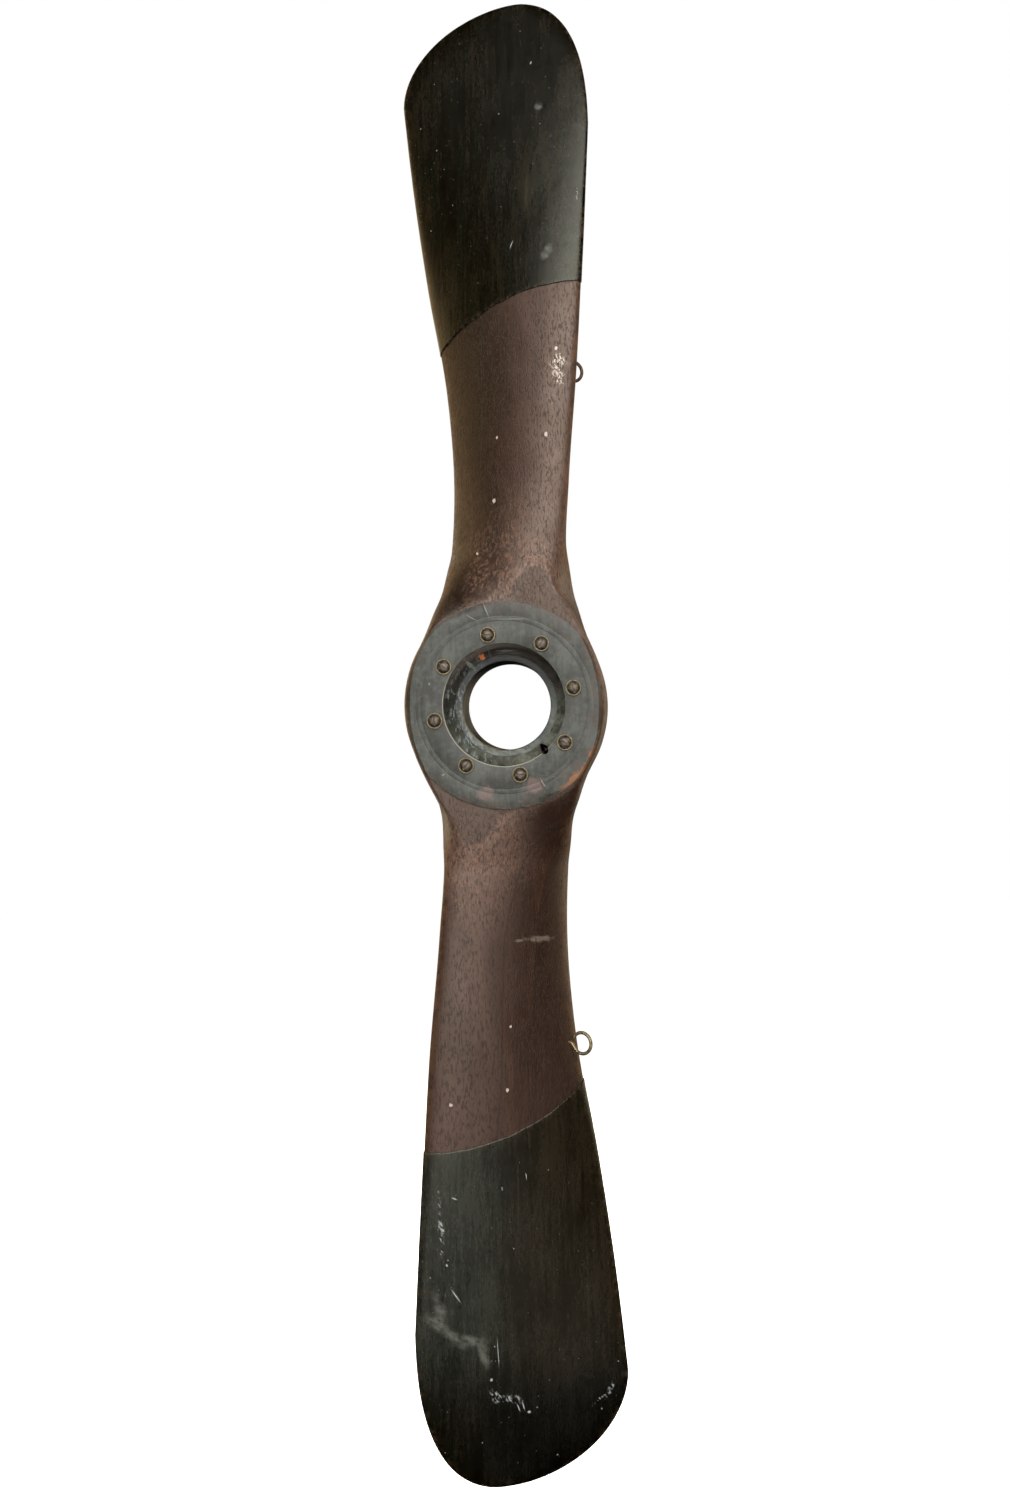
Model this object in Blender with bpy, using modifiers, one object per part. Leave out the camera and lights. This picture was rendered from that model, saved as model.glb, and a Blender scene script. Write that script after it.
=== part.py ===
"""Two-blade wooden propeller: mahogany boards glued face to face and carved, a plate on each face
of the hub, a sleeve in the shaft bore, eight through bolts with cup washers and nuts, fabric glued
over the blade tips, and two screw eyes.

Metres, +Z up. The shaft axis is Y and the front of the propeller faces -Y. The blades lie along Z.
The origin is the middle of the hub, on the shaft axis.
"""
import math

import bmesh
import bpy
from mathutils import Matrix, Vector

# ---- Driving dimensions ----
DIAMETER = 2.0
BOARDS = 5
BOARD_THICK = 0.0254
GAP = 0.0003

FABRIC_THICK = 0.0008
FABRIC_GAP = 0.0008

PLATE_RADIUS = 0.137
PLATE_THICK = 0.003

BORE_RADIUS = 0.0595
SLEEVE_WALL = 0.009
SLEEVE_SETBACK = 0.045
SLEEVE_BEVEL = 0.0012
COUNTERBORE_RADIUS = 0.081
COUNTERBORE_DEPTH = 0.036
NOTCH_RADIUS = 0.0775
NOTCH_ANGLE = math.radians(-50)
NOTCH_DEPTH = 0.050
NOTCH_HALF_WIDTH = 0.006
NOTCH_STRETCH = 1.35

BOLTS = 8
BOLT_CIRCLE = 0.1886
BOLT_TURN = math.radians(11.6)
BOLT_SPIN = 2.4
BOLT_RADIUS = 0.005
BOLT_CLEARANCE = 0.0006
BOLT_CHAMFER = 0.001
BOLT_OVERHANG = 0.0045
HEAD_RADIUS = 0.0084
HEAD_SEAT = 0.0017
HEAD_CROWN = ((0.0, 0.0068), (0.0040, 0.0062), (0.0070, 0.0046), (HEAD_RADIUS, 0.0024))
SLOT_WIDTH = 0.0016
SLOT_FLOOR = 0.0047
SLOT_TOP = 0.010
CUP_RADIUS = 0.0105
CUP_RIM = ((0.0098, 0.0034), (CUP_RADIUS, 0.0028))
CUP_FLOOR = 0.0014
CUP_BOWL = ((0.0088, CUP_FLOOR), (0.0090, 0.0030))
WASHER_RADIUS = 0.0110
WASHER_THICK = 0.0016
NUT_RADIUS = 0.0105
NUT_THICK = 0.008
NUT_SPIN = 1.3

EYE_WIRE = 0.0023
EYE_RING = 0.0137
EYE_TILT = math.radians(28)
EYE_SHANK = 0.031
EYE_NECK = 0.0052
EYE_BEND = 0.0016
EYE_START = math.radians(207)
EYE_SWEEP = math.radians(308)
EYE_HOLE_END = 0.001
UPPER_EYE = (0.1050, -0.0215, 0.4555)
LOWER_EYE = (0.0852, 0.0172, -0.4517)

# ---- Worked out from them ----
WOOD_HALF = BOARDS * BOARD_THICK / 2
PLATE_FACE = WOOD_HALF + GAP + PLATE_THICK
BLADE_TIP = DIAMETER / 2 - FABRIC_GAP - FABRIC_THICK
SLEEVE_RADIUS = BORE_RADIUS + SLEEVE_WALL
BOLT_HOLE = BOLT_RADIUS + BOLT_CLEARANCE

# ---- The blade's drawing: distance from the shaft axis, then the offset there ----
LEADING_EDGE = (
    (0.00, 0.136), (0.03, 0.133), (0.06, 0.124), (0.09, 0.112), (0.12, 0.100), (0.15, 0.0885),
    (0.20, 0.0855), (0.30, 0.094), (0.45, 0.1105), (0.60, 0.123), (0.75, 0.134), (0.80, 0.1375),
)
TRAILING_EDGE = (
    (0.00, 0.136), (0.03, 0.133), (0.06, 0.124), (0.09, 0.1085), (0.12, 0.0935), (0.15, 0.079),
    (0.20, 0.0735), (0.30, 0.0685), (0.45, 0.077), (0.60, 0.100), (0.75, 0.1185), (0.876, 0.130),
)
THICKNESS = (
    (0.00, 0.150), (0.09, 0.150), (0.13, 0.138), (0.16, 0.116), (0.20, 0.090), (0.25, 0.071),
    (0.30, 0.058), (0.40, 0.043), (0.50, 0.035), (0.60, 0.028), (0.70, 0.022), (0.80, 0.0168),
    (0.90, 0.012), (1.00, 0.0064),
)
LEADING_ROUND = 2.45
TRAILING_ROUND = 1.94
TIP_OFFSET = 0.0275
TIP_CHORD = 0.03
TIP_TAPER_START = 0.9
PITCH_SLOPE = 0.300
ROOT_SLOPE = 0.585
SLOPE_BLEND = 4
SETBACK = 0.0035
FRONT_BULGE = 0.33
NOSE_FULLNESS = 0.28
HUB_SQUARENESS = 7.0
TWIST_SPAN = (0.08, 0.24)
SQUARE_SPAN = (0.08, 0.22)
SETBACK_SPAN = (0.14, 0.32)
BULGE_SPAN = (0.2, 0.6)
NOSE_SPAN = (0.2, 0.5)
FABRIC_END_LEADING = 0.572
FABRIC_END_TRAILING = 0.503

# ---- Mesh fineness ----
SECTION_POINTS = 20
HUB_STEP = 0.02
HUB_STEPS = 9
BLADE_STEPS = 12
TIP_STEPS = 7
TIP_SWEEP = math.radians(86)
BORE_SEGMENTS = 36
FASTENER_SEGMENTS = 12
EYE_POINTS = 15
EYE_ROUNDNESS = 2
CUTTER_MARGIN = 0.02
BLANK_HALF_WIDTH = 0.2
FABRIC_ROW_GAP = 0.01
SHARP = math.radians(35)
MERGE_DISTANCE = 0.00001


# ---- Helpers ----
def clear_scene():
    """Take away whatever the file opened with."""
    for thing in list(bpy.data.objects):
        bpy.data.objects.remove(thing, do_unlink=True)


def collection(name):
    """A new collection in the scene."""
    made = bpy.data.collections.new(name)
    bpy.context.scene.collection.children.link(made)
    return made


def material(name, colour, roughness, metallic=0.0):
    """A Principled material of one colour."""
    made = bpy.data.materials.new(name)
    made.use_nodes = True
    shader = made.node_tree.nodes["Principled BSDF"]
    shader.inputs["Base Color"].default_value = (*colour, 1.0)
    shader.inputs["Roughness"].default_value = roughness
    shader.inputs["Metallic"].default_value = metallic
    return made


def add(name, data, group, finish=None):
    """An object made from a mesh or curve, in a collection, with its material."""
    made = bpy.data.objects.new(name, data)
    group.objects.link(made)
    if finish and not data.materials:
        data.materials.append(finish)
    return made


def add_cutter(name, mesh, group):
    """An object that only cuts or trims others."""
    made = add(name, mesh, group)
    made.hide_render = True
    made.display_type = "WIRE"
    return made


def mesh_from(bm, name):
    """A mesh from a bmesh, shaded smooth except across real edges."""
    bmesh.ops.recalc_face_normals(bm, faces=bm.faces)
    mesh = bpy.data.meshes.new(name)
    bm.to_mesh(mesh)
    bm.free()
    mesh.shade_smooth()
    mesh.set_sharp_from_angle(angle=SHARP)
    return mesh


def boolean(thing, cutter, operation="DIFFERENCE"):
    """Cut, or trim, one object by another."""
    step = thing.modifiers.new(cutter.name, "BOOLEAN")
    step.operation = operation
    step.object = cutter
    step.solver = "EXACT"


def box_mesh(name, low, high):
    """A box between two corners."""
    bm = bmesh.new()
    middle = (Vector(low) + Vector(high)) / 2
    size = Vector(high) - Vector(low)
    bmesh.ops.create_cube(bm, size=1.0, matrix=Matrix.Translation(middle) @ Matrix.Diagonal((*size, 1)))
    return mesh_from(bm, name)


def rod_mesh(name, rods, segments):
    """Cylinders, each given by its two ends and its radius."""
    bm = bmesh.new()
    for start, end, radius in rods:
        along = Vector(end) - Vector(start)
        place = Matrix.Translation((Vector(start) + Vector(end)) / 2)
        turn = along.to_track_quat("Z", "Y").to_matrix().to_4x4()
        bmesh.ops.create_cone(
            bm, cap_ends=True, segments=segments, radius1=radius, radius2=radius,
            depth=along.length, matrix=place @ turn,
        )
    return mesh_from(bm, name)


def profile_mesh(name, points, closed):
    """The edge line, in X and Z, that a turned piece is screwed from."""
    mesh = bpy.data.meshes.new(name)
    edges = [(i, i + 1) for i in range(len(points) - 1)]
    if closed:
        edges.append((len(points) - 1, 0))
    mesh.from_pydata([(x, 0.0, z) for x, z in points], edges, [])
    return mesh


def turn(thing, segments):
    """Screw an object's profile once round its own Z axis."""
    step = thing.modifiers.new("turned", "SCREW")
    step.axis = "Z"
    step.steps = segments
    step.render_steps = segments
    step.use_merge_vertices = True
    step.merge_threshold = MERGE_DISTANCE
    step.use_smooth_shade = True


def baked_mesh(thing, name):
    """The mesh of an object with its modifiers applied, for copies to share."""
    seen = thing.evaluated_get(bpy.context.evaluated_depsgraph_get())
    mesh = bpy.data.meshes.new_from_object(seen)
    mesh.name = name
    mesh.set_sharp_from_angle(angle=SHARP)
    return mesh


# ---- The carved shape ----
def ease(start, end, value):
    """0 before start, 1 after end, and a smooth step between."""
    t = min(max((value - start) / (end - start), 0.0), 1.0)
    return t * t * (3 - 2 * t)


def slopes(rows):
    """The slope of a smooth curve at each row of a drawing table."""
    steps = [(rows[i + 1][1] - rows[i][1]) / (rows[i + 1][0] - rows[i][0]) for i in range(len(rows) - 1)]
    inner = []
    for i in range(1, len(rows) - 1):
        before = rows[i][0] - rows[i - 1][0]
        after = rows[i + 1][0] - rows[i][0]
        inner.append((steps[i - 1] * after + steps[i] * before) / (before + after))
    return [0.0, *inner, steps[-1]]


def read(rows, radius):
    """The drawing table's value at a radius, on a smooth curve through its rows."""
    radius = min(max(radius, rows[0][0]), rows[-1][0])
    i = max(k for k in range(len(rows) - 1) if rows[k][0] <= radius)
    (r0, v0), (r1, v1) = rows[i], rows[i + 1]
    m0, m1 = slopes(rows)[i:i + 2]
    span = r1 - r0
    t = (radius - r0) / span
    held = (2 * t**3 - 3 * t**2 + 1) * v0 + (3 * t**2 - 2 * t**3) * v1
    return held + span * ((t**3 - 2 * t**2 + t) * m0 + (t**3 - t**2) * m1)


def edge_offset(rows, roundness, tip_offset, radius):
    """How far an edge lies from the blade's axis, with its rounded end."""
    shoulder, width = rows[-1]
    if radius <= shoulder:
        return read(rows, radius)
    out = min((radius - shoulder) / (BLADE_TIP - shoulder), 1.0)
    return tip_offset + (width - tip_offset) * (1 - out**roundness) ** (1 / roundness)


def slope(radius):
    """The tangent of the blade angle: constant pitch outboard, eased off towards the hub."""
    outer = PITCH_SLOPE / max(radius, HUB_STEP)
    blended = (outer**-SLOPE_BLEND + ROOT_SLOPE**-SLOPE_BLEND) ** (-1 / SLOPE_BLEND)
    return blended * ease(*TWIST_SPAN, radius)


def power(value, exponent):
    """A signed power, which squares off an ellipse."""
    return math.copysign(abs(value) ** exponent, value)


def surface_point(height, angle):
    """A point of the carved surface at a height along the blades. Angle 0 is the right-hand edge
    seen from the front, and a quarter turn is the middle of the front face."""
    radius = abs(height)
    if height < 0:
        angle = math.pi - angle
    leading = edge_offset(LEADING_EDGE, LEADING_ROUND, TIP_OFFSET, radius)
    trailing = edge_offset(TRAILING_EDGE, TRAILING_ROUND, -TIP_OFFSET, radius)
    thick = read(THICKNESS, radius)
    front_share = 0.5 + FRONT_BULGE * ease(*BULGE_SPAN, radius)
    exponent = 2 / (HUB_SQUARENESS - (HUB_SQUARENESS - 2) * ease(*SQUARE_SPAN, radius))
    nose = NOSE_FULLNESS * ease(*NOSE_SPAN, radius)
    tilt = math.atan(slope(radius))
    across = power(math.cos(angle), exponent)
    through = power(math.sin(angle), exponent)
    half_chord = (leading + trailing) / 2 / math.cos(tilt)
    along = (leading - trailing) / 2 / math.cos(tilt) + half_chord * across
    share = front_share if through > 0 else 1 - front_share
    taper = min(1.0, half_chord / TIP_CHORD) if radius > TIP_TAPER_START else 1.0
    rise = thick * share * through * (1 + nose * across) * taper
    x = along * math.cos(tilt) - rise * math.sin(tilt)
    y = -along * math.sin(tilt) - rise * math.cos(tilt) + SETBACK * ease(*SETBACK_SPAN, radius)
    return Vector((x if height >= 0 else -x, y, height))


def section_angles():
    """The angles of the points round one section."""
    return [2 * math.pi * k / SECTION_POINTS for k in range(SECTION_POINTS)]


def outer_radii():
    """Radii of the sections from the fabric's edge out to the tip."""
    shoulder = LEADING_EDGE[-1][0]
    root = HUB_STEP * HUB_STEPS
    blade = [root + (shoulder - root) * k / BLADE_STEPS for k in range(BLADE_STEPS + 1)]
    angles = [TIP_SWEEP * k / TIP_STEPS for k in range(1, TIP_STEPS + 1)]
    tip = [shoulder + (BLADE_TIP - shoulder) * math.sin(angle) for angle in angles]
    return [r for r in blade + tip if r > FABRIC_END_LEADING + FABRIC_ROW_GAP]


def all_radii():
    """Radii of every section of one blade, from the hub's middle to the tip."""
    shoulder = LEADING_EDGE[-1][0]
    root = HUB_STEP * HUB_STEPS
    hub = [HUB_STEP * k for k in range(HUB_STEPS)]
    blade = [root + (shoulder - root) * k / BLADE_STEPS for k in range(BLADE_STEPS)]
    inboard = [r for r in hub + blade if r <= FABRIC_END_LEADING + FABRIC_ROW_GAP]
    return inboard + outer_radii()


def bridge(bm, rings):
    """Quads between neighbouring rings of points."""
    for lower, upper in zip(rings, rings[1:]):
        for k in range(len(lower)):
            after = (k + 1) % len(lower)
            bm.faces.new((lower[k], lower[after], upper[after], upper[k]))


def carved_blank(group):
    """The whole carved outside, tip to tip, that trims the boards and the hub plates."""
    bm = bmesh.new()
    radii = all_radii()
    heights = [-r for r in reversed(radii[1:])] + radii
    rings = [[bm.verts.new(surface_point(h, a)) for a in section_angles()] for h in heights]
    bridge(bm, rings)
    bm.faces.new(rings[0])
    bm.faces.new(rings[-1])
    return add_cutter("carved_blank", mesh_from(bm, "carved_blank"), group)


# ---- The cutters ----
def bolt_centres():
    """Where the bolts cross the hub, as X and Z."""
    angles = [BOLT_TURN + 2 * math.pi * k / BOLTS for k in range(BOLTS)]
    return [(-BOLT_CIRCLE / 2 * math.sin(a), BOLT_CIRCLE / 2 * math.cos(a)) for a in angles]


def shaft_rod(name, radius, front, back, group):
    """A round cutter on the shaft axis."""
    rods = [((0, front, 0), (0, back, 0), radius)]
    return add_cutter(name, rod_mesh(name, rods, BORE_SEGMENTS), group)


def bolt_hole_cutter(group):
    """The eight clearance holes."""
    reach = PLATE_FACE + CUTTER_MARGIN
    rods = [((x, -reach, z), (x, reach, z), BOLT_HOLE) for x, z in bolt_centres()]
    return add_cutter("bolt_holes", rod_mesh("bolt_holes", rods, FASTENER_SEGMENTS), group)


def notch_cutter(group):
    """The dowel notch that breaks into the counterbore's rim."""
    bm = bmesh.new()
    front = -PLATE_FACE - CUTTER_MARGIN
    back = NOTCH_DEPTH - WOOD_HALF
    stretch = Matrix.Diagonal((NOTCH_STRETCH, 1.0, 1.0, 1.0))
    place = Matrix.Translation((0, (front + back) / 2, 0)) @ Matrix.Rotation(-NOTCH_ANGLE, 4, "Y")
    shift = Matrix.Translation((NOTCH_RADIUS, 0, 0))
    bmesh.ops.create_cone(
        bm, cap_ends=True, segments=FASTENER_SEGMENTS, radius1=NOTCH_HALF_WIDTH,
        radius2=NOTCH_HALF_WIDTH, depth=back - front,
        matrix=place @ shift @ stretch @ Matrix.Rotation(math.pi / 2, 4, "X"),
    )
    return add_cutter("dowel_notch", mesh_from(bm, "dowel_notch"), group)


# ---- The pieces ----
def board(index, blank, cutters, group, finish):
    """One plank of the laminated block, trimmed to the carved shape and drilled."""
    name = f"lamination_{index + 1}"
    front = -WOOD_HALF + index * BOARD_THICK
    reach = DIAMETER / 2 + CUTTER_MARGIN
    low = (-BLANK_HALF_WIDTH, front + GAP / 2, -reach)
    high = (BLANK_HALF_WIDTH, front + BOARD_THICK - GAP / 2, reach)
    made = add(name, box_mesh(name, low, high), group, finish)
    boolean(made, blank, "INTERSECT")
    for cutter in cutters:
        boolean(made, cutter)
    return made


def hub_plate(name, side, opening, blank, cutters, group, finish):
    """A thin plate on one face of the hub, flush with the hub's sides. Side -1 is the front."""
    near = side * (WOOD_HALF + GAP)
    far = side * PLATE_FACE
    mesh = rod_mesh(name, [((0, near, 0), (0, far, 0), PLATE_RADIUS)], 2 * BORE_SEGMENTS)
    made = add(name, mesh, group, finish)
    boolean(made, blank, "INTERSECT")
    boolean(made, opening)
    for cutter in cutters:
        boolean(made, cutter)
    return made


def bore_sleeve(group, finish):
    """The sleeve in the narrow part of the bore, its front end set back behind the counterbore."""
    inner = BORE_RADIUS
    outer = SLEEVE_RADIUS
    front = WOOD_HALF - SLEEVE_SETBACK
    back = -WOOD_HALF
    profile = [
        (inner + SLEEVE_BEVEL, front), (outer, front), (outer, back), (inner, back),
        (inner, front - SLEEVE_BEVEL),
    ]
    made = add("bore_sleeve", profile_mesh("bore_sleeve", profile, True), group, finish)
    made.rotation_euler = (math.pi / 2, 0, 0)
    turn(made, BORE_SEGMENTS)
    return made


def facing_front(thing, x, z, spin=0.0):
    """Stand a turned piece on the front of the hub, its own +Z towards the viewer."""
    thing.location = (x, -PLATE_FACE, z)
    thing.rotation_euler = (math.pi / 2, spin, 0)


def bolt_mesh(group):
    """A round-head bolt with a slot, seen with its head up and its seat at zero."""
    tip = -2 * PLATE_FACE - WASHER_THICK - NUT_THICK - BOLT_OVERHANG
    profile = [
        *HEAD_CROWN, (HEAD_RADIUS, HEAD_SEAT), (BOLT_RADIUS, HEAD_SEAT), (BOLT_RADIUS, tip + BOLT_CHAMFER),
        (BOLT_RADIUS - BOLT_CHAMFER, tip), (0, tip),
    ]
    blank = add("bolt_blank", profile_mesh("bolt_blank", profile, False), group)
    turn(blank, FASTENER_SEGMENTS)
    low = (-CUTTER_MARGIN, -SLOT_WIDTH / 2, SLOT_FLOOR)
    high = (CUTTER_MARGIN, SLOT_WIDTH / 2, SLOT_TOP)
    slot = add("bolt_slot", box_mesh("bolt_slot", low, high), group)
    boolean(blank, slot)
    mesh = baked_mesh(blank, "hub_bolt")
    bpy.data.objects.remove(blank)
    bpy.data.objects.remove(slot)
    return mesh


def nut_mesh(group):
    """A hexagon nut with a plain hole, its seat at zero and its far face at NUT_THICK."""
    blank = add("nut_blank", rod_mesh("nut_blank", [((0, 0, 0), (0, 0, NUT_THICK), NUT_RADIUS)], 6), group)
    hole_rod = [((0, 0, -CUTTER_MARGIN / 2), (0, 0, CUTTER_MARGIN), BOLT_RADIUS + GAP)]
    hole = add("nut_hole", rod_mesh("nut_hole", hole_rod, FASTENER_SEGMENTS), group)
    boolean(blank, hole)
    mesh = baked_mesh(blank, "hub_nut")
    bpy.data.objects.remove(blank)
    bpy.data.objects.remove(hole)
    return mesh


def fasteners(group, scrap, steel, brass):
    """Bolt, cup washer, rear washer and nut at each of the eight places."""
    cup = [*CUP_RIM, (CUP_RADIUS, GAP), (BOLT_HOLE, GAP), (BOLT_HOLE, CUP_FLOOR), *CUP_BOWL]
    flat = [
        (WASHER_RADIUS, GAP + WASHER_THICK), (WASHER_RADIUS, GAP), (BOLT_HOLE, GAP),
        (BOLT_HOLE, GAP + WASHER_THICK),
    ]
    bolt_shape = bolt_mesh(scrap)
    nut_shape = nut_mesh(scrap)
    cup_shape = profile_mesh("cup_washer", cup, True)
    flat_shape = profile_mesh("rear_washer", flat, True)
    for k, (x, z) in enumerate(bolt_centres()):
        number = k + 1
        bolt = add(f"hub_bolt_{number}", bolt_shape, group, steel)
        facing_front(bolt, x, z, spin=BOLT_SPIN * k)
        washer = add(f"cup_washer_{number}", cup_shape, group, brass)
        facing_front(washer, x, z)
        turn(washer, FASTENER_SEGMENTS)
        spacer = add(f"rear_washer_{number}", flat_shape, group, steel)
        spacer.location = (x, PLATE_FACE, z)
        spacer.rotation_euler = (-math.pi / 2, 0, 0)
        turn(spacer, FASTENER_SEGMENTS)
        nut = add(f"hub_nut_{number}", nut_shape, group, steel)
        nut.location = (x, PLATE_FACE + WASHER_THICK + 2 * GAP, z)
        nut.rotation_euler = (-math.pi / 2, NUT_SPIN * k, 0)


def fabric_edge(angle):
    """The radius where the tip fabric starts: further in at the trailing edge."""
    back = (1 - math.cos(angle)) / 2
    return FABRIC_END_LEADING - (FABRIC_END_LEADING - FABRIC_END_TRAILING) * back**2


def tip_fabric(name, side, group, finish):
    """The fabric round one blade's outer half, clear of the wood by a hair. Side 1 is the upper."""
    radii = outer_radii()
    angles = section_angles()
    bm = bmesh.new()
    rows = []
    for part in (0.0, 0.5):
        row = []
        for a in angles:
            start = fabric_edge(a if side > 0 else math.pi - a)
            row.append(surface_point(side * (start + (radii[0] - start) * part), a))
        rows.append(row)
    for r in radii:
        rows.append([surface_point(side * r, a) for a in angles])
    rings = [[bm.verts.new(p) for p in row] for row in rows]
    bridge(bm, rings)
    bm.faces.new(rings[-1])
    bmesh.ops.recalc_face_normals(bm, faces=bm.faces)
    bm.normal_update()
    for vertex in bm.verts:
        vertex.co += vertex.normal * FABRIC_GAP
    mesh = bpy.data.meshes.new(name)
    bm.to_mesh(mesh)
    bm.free()
    mesh.shade_smooth()
    made = add(name, mesh, group, finish)
    shell = made.modifiers.new("fabric_thickness", "SOLIDIFY")
    shell.thickness = FABRIC_THICK
    shell.offset = 1.0
    return made


def screw_eye(name, centre, outward, group, finish):
    """A bent-wire screw eye: a straight shank into the wood and an open ring."""
    up = Vector((0, 0, 1))
    centre = Vector(centre)
    path = [centre - outward * EYE_SHANK, centre - outward * (EYE_RING + EYE_NECK)]
    path.append(centre - outward * (EYE_RING + EYE_BEND) - up * EYE_BEND)
    for step in range(EYE_POINTS):
        angle = EYE_START + EYE_SWEEP * step / (EYE_POINTS - 1)
        path.append(centre + EYE_RING * (math.cos(angle) * outward + math.sin(angle) * up))
    curve = bpy.data.curves.new(name, "CURVE")
    curve.dimensions = "3D"
    curve.bevel_depth = EYE_WIRE
    curve.bevel_resolution = EYE_ROUNDNESS
    curve.use_fill_caps = True
    spline = curve.splines.new("POLY")
    spline.points.add(len(path) - 1)
    for point, place in zip(spline.points, path):
        point.co = (*place, 1.0)
    return add(name, curve, group, finish)


def eye_direction(side):
    """The way a screw eye stands out of the wood: to the right, and forward for the lower one."""
    return Vector((math.cos(EYE_TILT), side * math.sin(EYE_TILT), 0))


def eye_hole_cutter(name, centre, outward, group):
    """The hole for a screw eye's shank."""
    centre = Vector(centre)
    start = centre - outward * (EYE_SHANK + GAP)
    end = centre - outward * (EYE_RING + EYE_HOLE_END)
    return add_cutter(name, rod_mesh(name, [(start, end, EYE_WIRE + 2 * GAP)], FASTENER_SEGMENTS), group)


def build():
    """The whole propeller."""
    clear_scene()
    parts = collection("wooden_propeller")
    tools = collection("cutters")
    mahogany = material("mahogany", (0.085, 0.035, 0.022), 0.42)
    hub_paint = material("hub_paint", (0.075, 0.085, 0.075), 0.5)
    sleeve_paint = material("sleeve_paint", (0.045, 0.055, 0.048), 0.45)
    tip_paint = material("tip_paint", (0.016, 0.017, 0.011), 0.4)
    old_steel = material("old_steel", (0.11, 0.08, 0.055), 0.45, 0.8)
    old_brass = material("old_brass", (0.30, 0.22, 0.10), 0.4, 0.9)
    blank = carved_blank(tools)
    reach = PLATE_FACE + CUTTER_MARGIN
    shaft_bore = shaft_rod("shaft_bore", SLEEVE_RADIUS + GAP, -reach, reach, tools)
    counterbore_end = COUNTERBORE_DEPTH - WOOD_HALF
    counterbore = shaft_rod("counterbore", COUNTERBORE_RADIUS, -reach, counterbore_end, tools)
    plate_bore = shaft_rod("plate_bore", BORE_RADIUS, -reach, reach, tools)
    bolt_holes = bolt_hole_cutter(tools)
    notch = notch_cutter(tools)
    upper_way = eye_direction(1)
    lower_way = eye_direction(-1)
    upper_hole = eye_hole_cutter("upper_eye_hole", UPPER_EYE, upper_way, tools)
    lower_hole = eye_hole_cutter("lower_eye_hole", LOWER_EYE, lower_way, tools)
    wood_cutters = [shaft_bore, counterbore, bolt_holes, notch, upper_hole, lower_hole]
    for index in range(BOARDS):
        board(index, blank, wood_cutters, parts, mahogany)
    hub_plate("front_face_plate", -1, counterbore, blank, [bolt_holes, notch], parts, hub_paint)
    hub_plate("rear_face_plate", 1, plate_bore, blank, [bolt_holes], parts, hub_paint)
    bore_sleeve(parts, sleeve_paint)
    fasteners(parts, tools, old_steel, old_brass)
    tip_fabric("upper_tip_fabric", 1, parts, tip_paint)
    tip_fabric("lower_tip_fabric", -1, parts, tip_paint)
    screw_eye("upper_screw_eye", UPPER_EYE, upper_way, parts, old_steel)
    screw_eye("lower_screw_eye", LOWER_EYE, lower_way, parts, old_brass)


build()
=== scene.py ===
import functools
import math

import bmesh
import bpy
from mathutils import Euler, Matrix, Vector, noise


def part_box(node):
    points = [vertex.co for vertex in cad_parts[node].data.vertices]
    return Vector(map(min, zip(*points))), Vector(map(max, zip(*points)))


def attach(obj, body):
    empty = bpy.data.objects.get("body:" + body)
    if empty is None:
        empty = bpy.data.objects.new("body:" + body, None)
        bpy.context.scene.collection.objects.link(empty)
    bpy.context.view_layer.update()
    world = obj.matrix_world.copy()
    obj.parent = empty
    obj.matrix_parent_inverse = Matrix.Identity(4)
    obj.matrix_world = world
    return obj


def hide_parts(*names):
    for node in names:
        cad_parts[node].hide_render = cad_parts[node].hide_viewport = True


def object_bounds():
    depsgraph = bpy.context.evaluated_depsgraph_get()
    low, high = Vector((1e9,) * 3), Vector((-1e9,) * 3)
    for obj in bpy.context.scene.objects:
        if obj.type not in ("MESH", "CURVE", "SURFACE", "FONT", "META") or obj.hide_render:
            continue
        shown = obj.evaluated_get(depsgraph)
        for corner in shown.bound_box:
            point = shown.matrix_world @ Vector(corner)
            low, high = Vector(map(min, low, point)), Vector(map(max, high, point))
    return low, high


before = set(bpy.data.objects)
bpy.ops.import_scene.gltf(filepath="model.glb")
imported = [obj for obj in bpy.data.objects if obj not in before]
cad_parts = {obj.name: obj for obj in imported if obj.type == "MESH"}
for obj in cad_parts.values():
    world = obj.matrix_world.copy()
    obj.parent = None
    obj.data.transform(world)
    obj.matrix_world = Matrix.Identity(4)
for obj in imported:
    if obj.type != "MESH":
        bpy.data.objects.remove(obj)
cad_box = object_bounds()

# The looks of a two-blade wooden propeller, in metres, +Z up. The shaft axis is Y, the front faces
# -Y and the blades lie along Z. Each board, plate, fastener and fabric skin is rebuilt finely in
# the place that the frame gives it, and gets a procedural material.

# ---- Measured on the frame ----
BOARDS = 5
TIP = cad_box[1].z
WOOD_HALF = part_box("lamination_5")[1].y
BOARD_THICK = 2 * WOOD_HALF / BOARDS
PLATE_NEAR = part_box("front_face_plate")[1].y
PLATE_FACE = -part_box("front_face_plate")[0].y
SLEEVE_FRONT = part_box("bore_sleeve")[0].y
SLEEVE_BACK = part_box("bore_sleeve")[1].y
SLEEVE_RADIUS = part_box("bore_sleeve")[1].x

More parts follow.
